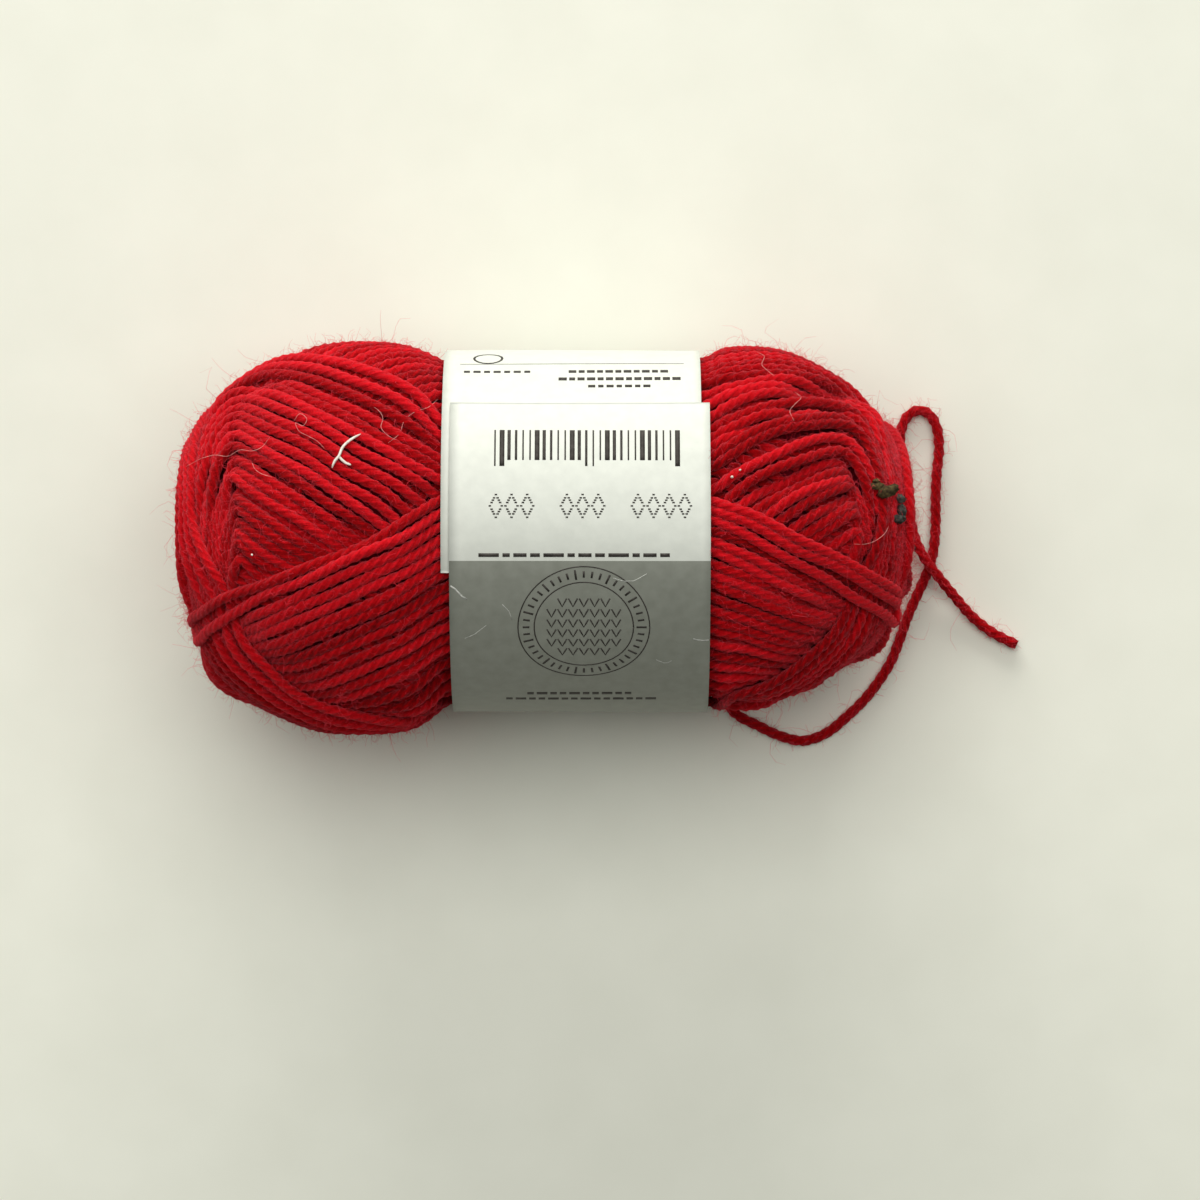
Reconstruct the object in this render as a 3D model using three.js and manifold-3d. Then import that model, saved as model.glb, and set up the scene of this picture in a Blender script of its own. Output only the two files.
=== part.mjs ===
// A skein of double-knitting wool, lying on its side: the wound yarn, the paper band around its
// waist, and the loose yarn tail on the surface beside it.
// Millimetres. +X runs along the skein's axis, +Z is up, and the skein rests on z = 0.
import * as THREE from 'three';
import { mergeVertices } from 'three/addons/utils/BufferGeometryUtils.js';
import Module from 'manifold-3d';

const manifold = await Module();
manifold.setup();

// Driving dimensions
const YARN_DIAMETER = 2.0;
const PLIES = 4;
const PLY_PITCH = 8.0;
const CLEARANCE = 0.35;
const BAND_WIDTH = 43.5;
const BAND_OUTER_RADIUS = 31.1;
const BAND_THICKNESS = 1.0;
const BAND_LEFT_EDGE = -17.4;
const BAND_DRIFT = 1.4;

// The band is a strip wound a little more than once around. Angles start at the top of the skein
// and grow towards +Y. The strip starts under its own last stretch.
const BAND_START = -14;
const LAP_END = 43;
const RISE_END = 110;
const DRIFT_START = 100;
const DRIFT_END = 250;
const BAND_STEP = 5;

// Axis of the band, and how far the centre of each lobe sits from it
const AXIS = { x: 0.4, y: 1.35, z: 31.9 };
const LEFT_LOBE_SHIFT = { y: -1.35, z: 0.9 };
const RIGHT_LOBE_SHIFT = { y: 0.3, z: -1.2 };

// Half sections of the two lobes: distance along the axis, and radius, from the dimpled end to
// the shoulder beside the band
const LEFT_LOBE = [
  { along: -59.0, radius: 0 },
  { along: -60.0, radius: 4 },
  { along: -62.0, radius: 7.5 },
  { along: -62.8, radius: 11 },
  { along: -62.0, radius: 15.5 },
  { along: -60.0, radius: 19.6 },
  { along: -56.7, radius: 24.0 },
  { along: -51.6, radius: 28.0 },
  { along: -46.2, radius: 30.7 },
  { along: -38.0, radius: 32.8 },
  { along: -30.0, radius: 33.4 },
  { along: -23.0, radius: 32.9 },
  { along: -19.4, radius: 31.8 },
  { along: -18.1, radius: 30.3 },
];
const RIGHT_LOBE = [
  { along: 60.4, radius: 0 },
  { along: 61.1, radius: 4 },
  { along: 62.6, radius: 7.0 },
  { along: 63.2, radius: 10.0 },
  { along: 62.1, radius: 13.2 },
  { along: 60.1, radius: 17.2 },
  { along: 57.2, radius: 20.8 },
  { along: 53.6, radius: 23.8 },
  { along: 49.5, radius: 26.3 },
  { along: 44.7, radius: 28.8 },
  { along: 40.0, radius: 30.4 },
  { along: 34.0, radius: 30.8 },
  { along: 29.6, radius: 30.5 },
  { along: 28.2, radius: 29.6 },
];
const LEFT_LOBE_STEPS = 13;
const RIGHT_LOBE_STEPS = 11;
const TURN_STEPS = 40;

// Loops of yarn that pass around an end of the skein and run back along both of its sides, each in
// a tilted plane that clears the dimple: how many lie around each end, their slope and clearance
const LOOPS = 6;
const LOOP_SLOPE = 27;
const LOOP_OFFSET = 11;
const LOOP_STEPS = 16;
const LOOP_WIDTH = 14;
const LOOP_RIDGES = 2;
const LOOP_HEIGHTS = [-0.8, 0.1];

// Bundles of parallel strands on top of the loops, as they lie on the upper face. A route's points
// are the distance from the dimple of that end, measured over the surface, and the angle around the
// axis. The underside has the same bundles half a turn on.
const LEFT_BUNDLES = [
  { route: [[30, 15], [50, 7], [76, -5]], width: 22, height: 0.9, ridges: 4 },
  { route: [[39, 65], [55, 40], [76, 20]], width: 13, height: 1.0, ridges: 3 },
  { route: [[24, -50], [47, -28], [76, -1]], width: 14, height: 1.6, ridges: 3 },
  { route: [[18, 70], [20, 30], [25, -12], [31, -42], [42, -60], [54, -76], [76, -103]], width: 9, height: 2.2, ridges: 2 },
];
const RIGHT_BUNDLES = [
  { route: [[62, 0], [46, 14], [30, 25]], width: 18, height: 0.8, ridges: 3 },
  { route: [[62, 24], [41, 40], [28, 38], [23, 12]], width: 9, height: 1.3, ridges: 2 },
  { route: [[62, 49], [42, 61], [30, 72], [21, 50], [16, 10]], width: 9, height: 1.4, ridges: 2 },
  { route: [[62, -7], [43, -26], [30, -44]], width: 14, height: 1.3, ridges: 3 },
  { route: [[31, 26], [23, -6], [29, -33], [40, -54], [62, -90]], width: 9, height: 2.0, ridges: 2 },
];
const BACK_TURN = 180;
const RIDGE_DEPTH = 0.6;
const ROUTE_STEP = 7;
const BODY_DEPTH = 1.9;
const EDGE_DEPTH = 2.6;
const ROOT_DEPTH = 3.8;
const DIVE_LENGTH = 12;
const BODY_SHOULDER_RUN = 0.2;
const LOOP_OVERRUN = 6;
const SKEIN_REACH = 100;

// Route of the yarn tail over the surface, from where it leaves the underside of the right lobe
const TAIL_ROUTE = [
  [31.4, -12.6, 2.20], [30.5, -16.5, 1.30], [30.3, -20.5, 1.05], [30.7, -24.5, 1.05], [31.6, -28.0, 1.05],
  [33.8, -30.9, 1.05], [37.2, -32.7, 1.05], [41.2, -34.6, 1.05], [45.6, -35.6, 1.05], [49.8, -34.2, 1.05],
  [53.3, -31.4, 1.05], [56.6, -28.2, 1.05], [59.1, -25.0, 1.05], [61.3, -21.4, 1.05], [62.8, -17.6, 1.05],
  [64.2, -13.6, 1.05], [65.8, -9.9, 1.05], [67.5, -6.2, 1.05], [68.7, -2.4, 1.05], [69.2, 2.6, 1.05],
  [69.2, 7.0, 1.05], [69.4, 12.0, 1.05], [69.8, 16.2, 1.05], [69.5, 19.8, 1.05], [68.1, 22.5, 1.05],
  [66.0, 23.2, 1.05], [64.0, 21.9, 1.05], [63.0, 19.2, 1.05], [62.9, 15.6, 1.05], [63.5, 11.4, 1.05],
  [64.2, 7.2, 1.20], [64.8, 3.2, 1.80], [65.8, -0.6, 2.80], [67.5, -3.7, 3.50], [69.8, -6.7, 3.20],
  [72.6, -10.0, 2.00], [75.6, -13.4, 1.20], [79.4, -16.4, 1.05], [83.6, -18.5, 1.05],
];
const TAIL_STEP = 1.3;
const PLY_GROOVE = 0.16;

// Crimson wool and white paper
const WOOL = { color: 0xb01a31, roughness: 0.95, metalness: 0 };
const PAPER = { color: 0xe8ebe4, roughness: 0.55, metalness: 0 };

const radians = THREE.MathUtils.degToRad;
const smooth = THREE.MathUtils.smoothstep;

// Inner radius of the band at an angle along its strip
function bandInnerRadius(angle) {
  const lapped = BAND_OUTER_RADIUS - 2 * BAND_THICKNESS - CLEARANCE;
  return lapped + (BAND_THICKNESS + CLEARANCE) * smooth(angle, LAP_END, RISE_END);
}

// Radius of the yarn under the band, clear of the strip's inner face all the way around
function waistRadius(turn) {
  const angle = THREE.MathUtils.euclideanModulo(turn - BAND_START, 360) + BAND_START;
  const beforeStart = smooth(angle, BAND_START + 350, BAND_START + 358);
  const drop = (BAND_THICKNESS + CLEARANCE) * beforeStart;
  return bandInnerRadius(angle - 2 * BAND_STEP) - drop - CLEARANCE;
}

// Centre of the skein's section at a place along its axis: each lobe slides to its own centre
// within a short way of the band
function sectionCentre(along, isWaist) {
  const left = isWaist ? 0 : smooth(-along, 12, 24);
  const right = isWaist ? 0 : smooth(along, 24, 34);
  const y = AXIS.y + left * LEFT_LOBE_SHIFT.y + right * RIGHT_LOBE_SHIFT.y;
  const z = AXIS.z + left * LEFT_LOBE_SHIFT.z + right * RIGHT_LOBE_SHIFT.z;
  return { y, z };
}

// A point of the skein at an angle around its axis
function skeinPoint(along, radius, turn, isWaist) {
  const centre = sectionCentre(along, isWaist);
  const y = centre.y + radius * Math.sin(radians(turn));
  const z = centre.z + radius * Math.cos(radians(turn));
  return new THREE.Vector3(AXIS.x + along, y, z);
}

function lobeCurve(rows) {
  return new THREE.SplineCurve(rows.map(({ along, radius }) => new THREE.Vector2(along, radius)));
}

// Place on a lobe's half section, raised by a height along its outward direction. Past the
// shoulder it goes on along the axis.
function sectionPoint(curve, distance, height) {
  const past = Math.max(distance - curve.getLength(), 0);
  const share = THREE.MathUtils.clamp(distance / curve.getLength(), 0, 1);
  const point = curve.getPointAt(share);
  const tangent = past > 0 ? new THREE.Vector2(-Math.sign(point.x), 0) : curve.getTangentAt(share);
  const side = Math.sign(point.x);
  const along = point.x - side * past + side * height * tangent.y;
  return new THREE.Vector2(along, point.y - side * height * tangent.x);
}

// Solid of a box between two places along the axis and up to a height
function boxSolid(start, end, top) {
  const box = new THREE.BoxGeometry(end - start, 2 * SKEIN_REACH, SKEIN_REACH + top);
  box.translate((start + end) / 2, 0, (top - SKEIN_REACH) / 2);
  return solidOf(box);
}

// Solid of a closed mesh whose equal points are joined
function solidOf(geometry) {
  geometry.deleteAttribute('normal');
  geometry.deleteAttribute('uv');
  const merged = mergeVertices(geometry, 1e-4);
  const vertProperties = merged.attributes.position.array;
  const triVerts = new Uint32Array(merged.index.array);
  return new manifold.Manifold(new manifold.Mesh({ numProp: 3, vertProperties, triVerts }));
}

// The plain body: both lobes and the waist, turned about the axis
function makeBody(leftCurve, rightCurve) {
  const lowered = (curve, steps) => Array.from({ length: steps + 1 }, (_, i) => {
    const point = sectionPoint(curve, curve.getLength() * i / steps, -BODY_DEPTH);
    return new THREE.Vector2(point.x, i === 0 ? 0 : Math.max(point.y, 1));
  });
  const left = lowered(leftCurve, LEFT_LOBE_STEPS);
  const right = lowered(rightCurve, RIGHT_LOBE_STEPS);
  const waistStart = left.at(-1).x + BODY_SHOULDER_RUN;
  const waistEnd = right.at(-1).x - BODY_SHOULDER_RUN;
  const waist = [waistEnd, waistStart].map((along) => new THREE.Vector2(along, BAND_OUTER_RADIUS));
  const section = [...right, ...waist, ...left.reverse()];
  const profile = section.map((point) => new THREE.Vector2(point.y, point.x));
  const geometry = new THREE.LatheGeometry(profile, TURN_STEPS);
  const position = geometry.attributes.position;
  for (let i = 0; i < position.count; i += 1) {
    const point = section[i % section.length];
    const turn = 360 * (Math.floor(i / section.length) % TURN_STEPS) / TURN_STEPS;
    const isWaist = waist.includes(point);
    const radius = isWaist ? waistRadius(turn) : point.y;
    const { x, y, z } = skeinPoint(point.x, radius, turn, isWaist);
    position.setXYZ(i, x, y, z);
  }
  return solidOf(geometry);
}

// Route of a loop around an end: down one side, past the dimple and back along the other side.
// It lies in a plane, so its angle follows from the radius and the distance along the axis.
function loopRoute(curve, facing) {
  const length = curve.getLength();
  const end = Math.abs(curve.getPointAt(0).x);
  const cosineAt = (distance) => {
    const point = sectionPoint(curve, distance, 0);
    return (LOOP_OFFSET - (end - Math.abs(point.x)) * Math.tan(radians(LOOP_SLOPE))) / point.y;
  };
  let turningPoint = LOOP_OFFSET / 2;
  while (cosineAt(turningPoint) > 1) {
    turningPoint += 0.1;
  }
  const route = [];
  for (let i = -LOOP_STEPS / 2; i <= LOOP_STEPS / 2; i += 1) {
    const share = 2 * i / LOOP_STEPS;
    const distance = turningPoint + (length + LOOP_OVERRUN - turningPoint) * share ** 2;
    const away = THREE.MathUtils.radToDeg(Math.acos(Math.min(cosineAt(distance), 1)));
    route.push(new THREE.Vector2(distance, facing + Math.sign(i) * away));
  }
  return route;
}

// Route of a bundle as evenly spaced points of a smooth curve
function bundleRoute(rows, addedTurn) {
  const points = rows.map(([distance, turn]) => new THREE.Vector2(distance, turn + addedTurn));
  const curve = new THREE.SplineCurve(points);
  return curve.getPoints(Math.ceil(curve.getLength() / ROUTE_STEP));
}

// A bundle of strands: a ridged strip that follows its route over the lobe, rooted in the body. An
// end either runs past the band's edge or dives into the body.
function makeStrip(curve, route, { width, height, ridges }) {
  const side = Math.sign(curve.getPointAt(0).x);
  const startDives = route[0].x < curve.getLength() - DIVE_LENGTH;
  const endDives = route.at(-1).x < curve.getLength() - DIVE_LENGTH;
  const across = 2 * ridges + 1;
  const ring = across + 2;
  const vertices = [];
  route.forEach((point, i) => {
    const previous = route[Math.max(i - 1, 0)];
    const next = route[Math.min(i + 1, route.length - 1)];
    const radius = Math.max(sectionPoint(curve, point.x, 0).y, 1);
    const heading = new THREE.Vector2(next.x - previous.x, radians(next.y - previous.y) * radius).normalize();
    const fromStart = startDives ? point.distanceTo(route[0]) : Infinity;
    const fromEnd = endDives ? point.distanceTo(route.at(-1)) : Infinity;
    const dive = smooth(Math.min(fromStart, fromEnd), 0, DIVE_LENGTH);
    const place = (offset, level) => {
      const distance = point.x - offset * heading.y;
      const turn = point.y + THREE.MathUtils.radToDeg(offset * heading.x / radius);
      const raised = sectionPoint(curve, distance, level);
      vertices.push(skeinPoint(raised.x, raised.y, turn, false));
    };
    for (let j = 0; j < across; j += 1) {
      const isEdge = j === 0 || j === across - 1;
      const level = isEdge ? -EDGE_DEPTH : height - (1 - j % 2) * RIDGE_DEPTH;
      place(width * (j / (across - 1) - 0.5), THREE.MathUtils.lerp(-EDGE_DEPTH, level, dive));
    }
    place(width / 2, -ROOT_DEPTH);
    place(-width / 2, -ROOT_DEPTH);
  });
  const triangles = [];
  for (let i = 0; i < route.length - 1; i += 1) {
    for (let j = 0; j < ring; j += 1) {
      const [a, b] = [i * ring + j, i * ring + (j + 1) % ring];
      triangles.push([a, b, a + ring], [b, b + ring, a + ring]);
    }
  }
  const last = (route.length - 1) * ring;
  for (let j = 0; j < ring - 2; j += 1) {
    triangles.push([ring - 1, j + 1, j], [last + ring - 1, last + j, last + j + 1]);
  }
  const ordered = side > 0 ? triangles : triangles.map(([a, b, c]) => [a, c, b]);
  const geometry = new THREE.BufferGeometry().setFromPoints(vertices);
  geometry.setIndex(ordered.flat());
  return solidOf(geometry);
}

// The wound yarn: the plain body with its loops and bundles joined on. They are cut off beside the
// band, and the whole is cut flat where it rests.
function makeSkein() {
  const leftCurve = lobeCurve(LEFT_LOBE);
  const rightCurve = lobeCurve(RIGHT_LOBE);
  const strips = [];
  for (const [curve, bundles] of [[leftCurve, LEFT_BUNDLES], [rightCurve, RIGHT_BUNDLES]]) {
    for (let i = 0; i < LOOPS; i += 1) {
      const height = LOOP_HEIGHTS[i % LOOP_HEIGHTS.length];
      const form = { width: LOOP_WIDTH, height, ridges: LOOP_RIDGES };
      strips.push(makeStrip(curve, loopRoute(curve, 360 * i / LOOPS), form));
    }
    for (const addedTurn of [BACK_TURN, 0]) {
      for (const bundle of bundles) {
        strips.push(makeStrip(curve, bundleRoute(bundle.route, addedTurn), bundle));
      }
    }
  }
  const wound = strips.reduce((joinedStrips, strip) => joinedStrips.add(strip));
  const besideBand = AXIS.x + BAND_LEFT_EDGE - CLEARANCE;
  const bandReach = BAND_WIDTH + BAND_DRIFT + 2 * CLEARANCE;
  const waistSpace = boxSolid(besideBand, besideBand + bandReach, SKEIN_REACH);
  const floorSpace = boxSolid(-SKEIN_REACH, SKEIN_REACH, 0);
  const solid = makeBody(leftCurve, rightCurve).add(wound.subtract(waistSpace)).subtract(floorSpace);
  const joined = solid.getMesh();
  const geometry = new THREE.BufferGeometry();
  geometry.setAttribute('position', new THREE.BufferAttribute(joined.vertProperties, 3));
  geometry.setIndex(new THREE.BufferAttribute(joined.triVerts, 1));
  const skein = new THREE.Mesh(geometry, new THREE.MeshStandardMaterial(WOOL));
  skein.name = 'wound_skein';
  return skein;
}

// The paper band: the outline of the wound strip, extruded along the axis. The strip drifts a
// little along the skein as it goes around, so its two ends don't line up.
function makeBand() {
  const outer = [];
  const inner = [];
  for (let angle = BAND_START; angle <= 360 + LAP_END; angle += BAND_STEP) {
    const radius = bandInnerRadius(angle);
    const across = new THREE.Vector2(-Math.cos(radians(angle)), Math.sin(radians(angle)));
    inner.push(across.clone().multiplyScalar(radius));
    outer.push(across.clone().multiplyScalar(radius + BAND_THICKNESS));
  }
  const outline = new THREE.Shape([...outer, ...inner.reverse()]);
  const geometry = new THREE.ExtrudeGeometry(outline, { depth: BAND_WIDTH, steps: 1, bevelEnabled: false });
  geometry.rotateY(Math.PI / 2);
  const position = geometry.attributes.position;
  const underLayer = BAND_OUTER_RADIUS - BAND_THICKNESS - CLEARANCE / 2;
  for (let i = 0; i < position.count; i += 1) {
    const turn = THREE.MathUtils.radToDeg(Math.atan2(position.getY(i), position.getZ(i)));
    let angle = THREE.MathUtils.euclideanModulo(turn - BAND_START + 0.01, 360) + BAND_START;
    const isTopLayer = Math.hypot(position.getY(i), position.getZ(i)) > underLayer;
    if (angle < LAP_END + BAND_STEP && isTopLayer) {
      angle += 360;
    }
    position.setX(i, position.getX(i) + BAND_DRIFT * smooth(angle, DRIFT_START, DRIFT_END));
  }
  const band = new THREE.Mesh(geometry, new THREE.MeshStandardMaterial(PAPER));
  band.name = 'paper_band';
  band.position.set(AXIS.x + BAND_LEFT_EDGE, AXIS.y, AXIS.z);
  return band;
}

// A route whose cross-section turns about it, once for each pitch of the plies
class PliedRoute extends THREE.CatmullRomCurve3 {
  computeFrenetFrames(segments, closed) {
    const frames = super.computeFrenetFrames(segments, closed);
    const turnPerStep = 2 * Math.PI * this.getLength() / segments / PLY_PITCH;
    for (let i = 0; i <= segments; i += 1) {
      frames.normals[i].applyAxisAngle(frames.tangents[i], -i * turnPerStep);
      frames.binormals[i].applyAxisAngle(frames.tangents[i], -i * turnPerStep);
    }
    return frames;
  }
}

// The yarn tail: one ridge for each ply, with a groove between two plies
function makeTail() {
  const route = new PliedRoute(TAIL_ROUTE.map(([x, y, z]) => new THREE.Vector3(x, y, z)));
  const section = new THREE.Shape();
  const corners = 2 * PLIES;
  for (let i = 0; i < corners; i += 1) {
    const radius = YARN_DIAMETER / 2 - (i % 2) * PLY_GROOVE;
    const corner = new THREE.Vector2(radius, 0).rotateAround(new THREE.Vector2(), 2 * Math.PI * i / corners);
    if (i === 0) {
      section.moveTo(corner.x, corner.y);
    } else {
      section.lineTo(corner.x, corner.y);
    }
  }
  const steps = Math.round(route.getLength() / TAIL_STEP);
  const geometry = new THREE.ExtrudeGeometry(section, { steps, extrudePath: route, bevelEnabled: false });
  const tail = new THREE.Mesh(geometry, new THREE.MeshStandardMaterial(WOOL));
  tail.name = 'yarn_tail';
  return tail;
}

const skeinOfYarn = new THREE.Group();
skeinOfYarn.add(makeSkein(), makeBand(), makeTail());

export default skeinOfYarn;
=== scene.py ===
import math
import bpy
import numpy as np
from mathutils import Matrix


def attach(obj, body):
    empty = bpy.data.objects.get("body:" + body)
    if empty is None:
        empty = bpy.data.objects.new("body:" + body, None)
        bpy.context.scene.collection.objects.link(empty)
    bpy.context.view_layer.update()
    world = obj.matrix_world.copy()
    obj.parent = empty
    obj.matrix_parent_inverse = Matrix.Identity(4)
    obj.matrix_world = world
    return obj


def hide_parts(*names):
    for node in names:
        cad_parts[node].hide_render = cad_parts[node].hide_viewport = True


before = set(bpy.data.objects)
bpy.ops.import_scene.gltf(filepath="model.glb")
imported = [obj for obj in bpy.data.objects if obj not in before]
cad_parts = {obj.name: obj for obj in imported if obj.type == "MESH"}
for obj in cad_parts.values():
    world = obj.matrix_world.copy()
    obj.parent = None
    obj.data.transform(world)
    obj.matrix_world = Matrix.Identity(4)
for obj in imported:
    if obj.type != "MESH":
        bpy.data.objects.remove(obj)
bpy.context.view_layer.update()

# Sizes are in metres and named angles in degrees. A turn that a function takes is in radians.

# Least values that keep a length from being zero
TINY = 1e-9
SMALL = 1e-6

# The yarn: four plies twisted together
YARN_DIAMETER = 0.0020
YARN_RADIUS = YARN_DIAMETER / 2
PLIES = 4
PLY_PITCH = 0.0080
PLY_GROOVE = 0.50
POINTS_A_PLY = 3
RING_STEP = 0.0010

# The axis of the skein runs along X. Each lobe's centre is a little off it.
AXIS_X, AXIS_Y, AXIS_Z = 0.0004, 0.00135, 0.0319
LEFT_SHIFT_Y, LEFT_SHIFT_Z = -0.00135, 0.0009
RIGHT_SHIFT_Y, RIGHT_SHIFT_Z = 0.0003, -0.0012
LEFT_SHIFT_FROM, LEFT_SHIFT_TO = 0.012, 0.024
RIGHT_SHIFT_FROM, RIGHT_SHIFT_TO = 0.024, 0.034

# Outline of the wound skein, from the dimple of its left end to that of its right end:
# (place along the axis, radius)
LEFT_LOBE = [
    (-0.0590, 0.0000), (-0.0600, 0.0040), (-0.0620, 0.0075), (-0.0628, 0.0110), (-0.0620, 0.0155),
    (-0.0602, 0.0198), (-0.0569, 0.0244), (-0.0518, 0.0285), (-0.0463, 0.0313), (-0.0380, 0.0334),
    (-0.0300, 0.0339), (-0.0240, 0.0333), (-0.0205, 0.0322), (-0.0180, 0.0309), (-0.0165, 0.0300),
]
RIGHT_LOBE = [
    (0.0275, 0.0298), (0.0296, 0.0310), (0.0340, 0.0315), (0.0400, 0.0310), (0.0447, 0.0294),
    (0.0495, 0.0269), (0.0536, 0.0244), (0.0572, 0.0213), (0.0601, 0.0174), (0.0621, 0.0134),
    (0.0632, 0.0100), (0.0626, 0.0070), (0.0611, 0.0040), (0.0604, 0.0000),
]

# The paper band
BAND_WIDTH = 0.0435
BAND_RADIUS = 0.0311
BAND_THICKNESS = 0.00022
BAND_LAP_LIFT = 0.0005
BAND_LEFT_EDGE = -0.0174
BAND_DRIFT = 0.0014
DRIFT_FROM, DRIFT_TO = 100, 250
BAND_START = -14
LAP_END = 43
SILVER_FROM, SILVER_TO = 122, 350

# The loose end of the yarn, from the place where it leaves the skein
TAIL_ROUTE = [
    (0.0314, -0.0126, 0.00220), (0.0305, -0.0165, 0.00130), (0.0303, -0.0205, 0.00105),
    (0.0307, -0.0245, 0.00105), (0.0316, -0.0280, 0.00105), (0.0338, -0.0309, 0.00105),
    (0.0372, -0.0327, 0.00105), (0.0412, -0.0346, 0.00105), (0.0456, -0.0356, 0.00105),
    (0.0498, -0.0342, 0.00105), (0.0533, -0.0314, 0.00105), (0.0566, -0.0282, 0.00105),
    (0.0591, -0.0250, 0.00105), (0.0613, -0.0214, 0.00105), (0.0628, -0.0176, 0.00105),
    (0.0642, -0.0136, 0.00105), (0.0658, -0.0099, 0.00105), (0.0675, -0.0062, 0.00105),
    (0.0687, -0.0024, 0.00105), (0.0692, 0.0026, 0.00105), (0.0692, 0.0070, 0.00105),
    (0.0694, 0.0120, 0.00105), (0.0698, 0.0162, 0.00105), (0.0695, 0.0198, 0.00105),
    (0.0681, 0.0225, 0.00105), (0.0660, 0.0232, 0.00105), (0.0640, 0.0219, 0.00105),
    (0.0630, 0.0192, 0.00105), (0.0629, 0.0156, 0.00105), (0.0635, 0.0114, 0.00105),
    (0.0642, 0.0072, 0.00120), (0.0648, 0.0032, 0.00180), (0.0658, -0.0006, 0.00280),
    (0.0675, -0.0037, 0.00350), (0.0698, -0.0067, 0.00320), (0.0726, -0.0100, 0.00200),
    (0.0756, -0.0134, 0.00120), (0.0794, -0.0164, 0.00105), (0.0836, -0.0185, 0.00105),
]

# The camera looks straight down on the skein
CAMERA_PLACE = (0.0095, -0.01055, 0.932)
SENSOR_WIDTH = 36.0
FOCAL_LENGTH = 157.0

# Grid of the winding's height over the outline: the length of a cell, the number of cells around
# the axis, and the radius at which their width is taken
CELL = 0.0004
CELLS_AROUND = 540
GRID_RADIUS = 0.030

# How a strand is laid: steps of its route, steps sideways, and shares of a step ahead
LAY_STEP = 0.0005
SIDE_STEP = 0.0002
SHARES_AHEAD = (0, 0.5)
LEAST_RADIUS = 0.002

# A strand rests on what lies within its foot. Its belly and its width then press on those below.
FOOT = 0.0002
TOUCH_DEPTH = 0.0009
BELLY = 0.8
TOP_REACH = 0.0007
COVER_REACH = 0.0010
COVER_SIDES = (-0.0009, -0.0005, 0, 0.0005, 0.0009)
BEND_SAMPLES = 5
SETTLE_SAMPLES = 1.5

# Depth limits of strands in the middle and near the ends, at these distances from a dimple, and
# the depth of the core below strands and where none lie
DEEPEST = -0.0030
DEEPEST_AT_END = -0.0014
END_REACHES = (0.024, 0.036)
CORE_DEPTH = -0.0044
WAIST_DEPTH = -0.0030

# The two ends of the skein
LEFT, RIGHT = -1, 1


def blend(start, end, place):
    """0 before start, 1 past end, and a smooth step between them."""
    share = np.clip((np.asarray(place, float) - start) / (end - start), 0, 1)
    return share * share * (3 - 2 * share)


def spline(points, count):
    """A smooth curve through the points, with count steps between two of them."""
    points = np.asarray(points, float)
    ends = np.vstack([2 * points[0] - points[1], points, 2 * points[-1] - points[-2]])
    share = np.linspace(0, 1, count, endpoint=False)[:, None]
    pieces = []
    for a, b, c, d in zip(ends, ends[1:], ends[2:], ends[3:]):
        gap_before = max(np.linalg.norm(b - a), TINY) ** 0.5
        gap = max(np.linalg.norm(c - b), TINY) ** 0.5
        gap_after = max(np.linalg.norm(d - c), TINY) ** 0.5
        slope_b = ((b - a) / gap_before - (c - a) / (gap_before + gap) + (c - b) / gap) * gap
        slope_c = ((c - b) / gap - (d - b) / (gap + gap_after) + (d - c) / gap_after) * gap
        square, cube = share ** 2, share ** 3
        pieces.append(
            (2 * cube - 3 * square + 1) * b + (cube - 2 * square + share) * slope_b
            + (3 * square - 2 * cube) * c + (cube - square) * slope_c
        )
    return np.vstack(pieces + [points[-1:]])


def lengths_along(points):
    """Distance from the first point to each point of a path."""
    steps = np.linalg.norm(np.diff(points, axis=0), axis=1)
    return np.concatenate([[0], np.cumsum(steps)])


def at_lengths(even, at, points):
    """Points of a path at other distances along it than its own."""
    return np.stack([np.interp(even, at, column) for column in points.T], axis=1)


def unit(directions):
    """The directions at length one."""
    return directions / np.maximum(np.linalg.norm(directions, axis=-1), TINY)[..., None]


OUTLINE_STEPS = 24
OUTLINE = spline(LEFT_LOBE + RIGHT_LOBE, OUTLINE_STEPS)
OUTLINE[:, 1] = np.maximum(OUTLINE[:, 1], 0)
OUTLINE_AT = lengths_along(OUTLINE)
OUTLINE_SLOPE = unit(np.gradient(OUTLINE, OUTLINE_AT, axis=0))
SKEIN_REACH = OUTLINE_AT[-1]


def along_at(distance):
    """Place along the axis at a distance over the outline."""
    return np.interp(distance, OUTLINE_AT, OUTLINE[:, 0])


def radius_at(distance):
    return np.interp(distance, OUTLINE_AT, OUTLINE[:, 1])


def normal_at(distance):
    """Outward direction at a distance over the outline: its parts along and off the axis."""
    normal_along = -np.interp(distance, OUTLINE_AT, OUTLINE_SLOPE[:, 1])
    return normal_along, np.interp(distance, OUTLINE_AT, OUTLINE_SLOPE[:, 0])


def surface_point(distance, turn, height=0.0, floor=0.0):
    """Point of the skein at a distance over its outline from the left dimple, an angle
    around its axis in radians, and a height above the outline. It stays above the floor given."""
    along = along_at(distance)
    normal_along, normal_out = normal_at(distance)
    left = blend(LEFT_SHIFT_FROM, LEFT_SHIFT_TO, -along)
    right = blend(RIGHT_SHIFT_FROM, RIGHT_SHIFT_TO, along)
    centre_y = AXIS_Y + left * LEFT_SHIFT_Y + right * RIGHT_SHIFT_Y
    centre_z = AXIS_Z + left * LEFT_SHIFT_Z + right * RIGHT_SHIFT_Z
    radius = radius_at(distance) + height * normal_out
    return np.stack([
        AXIS_X + along + height * normal_along,
        centre_y + radius * np.sin(turn),
        np.maximum(centre_z + radius * np.cos(turn), floor),
    ], axis=-1)


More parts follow.
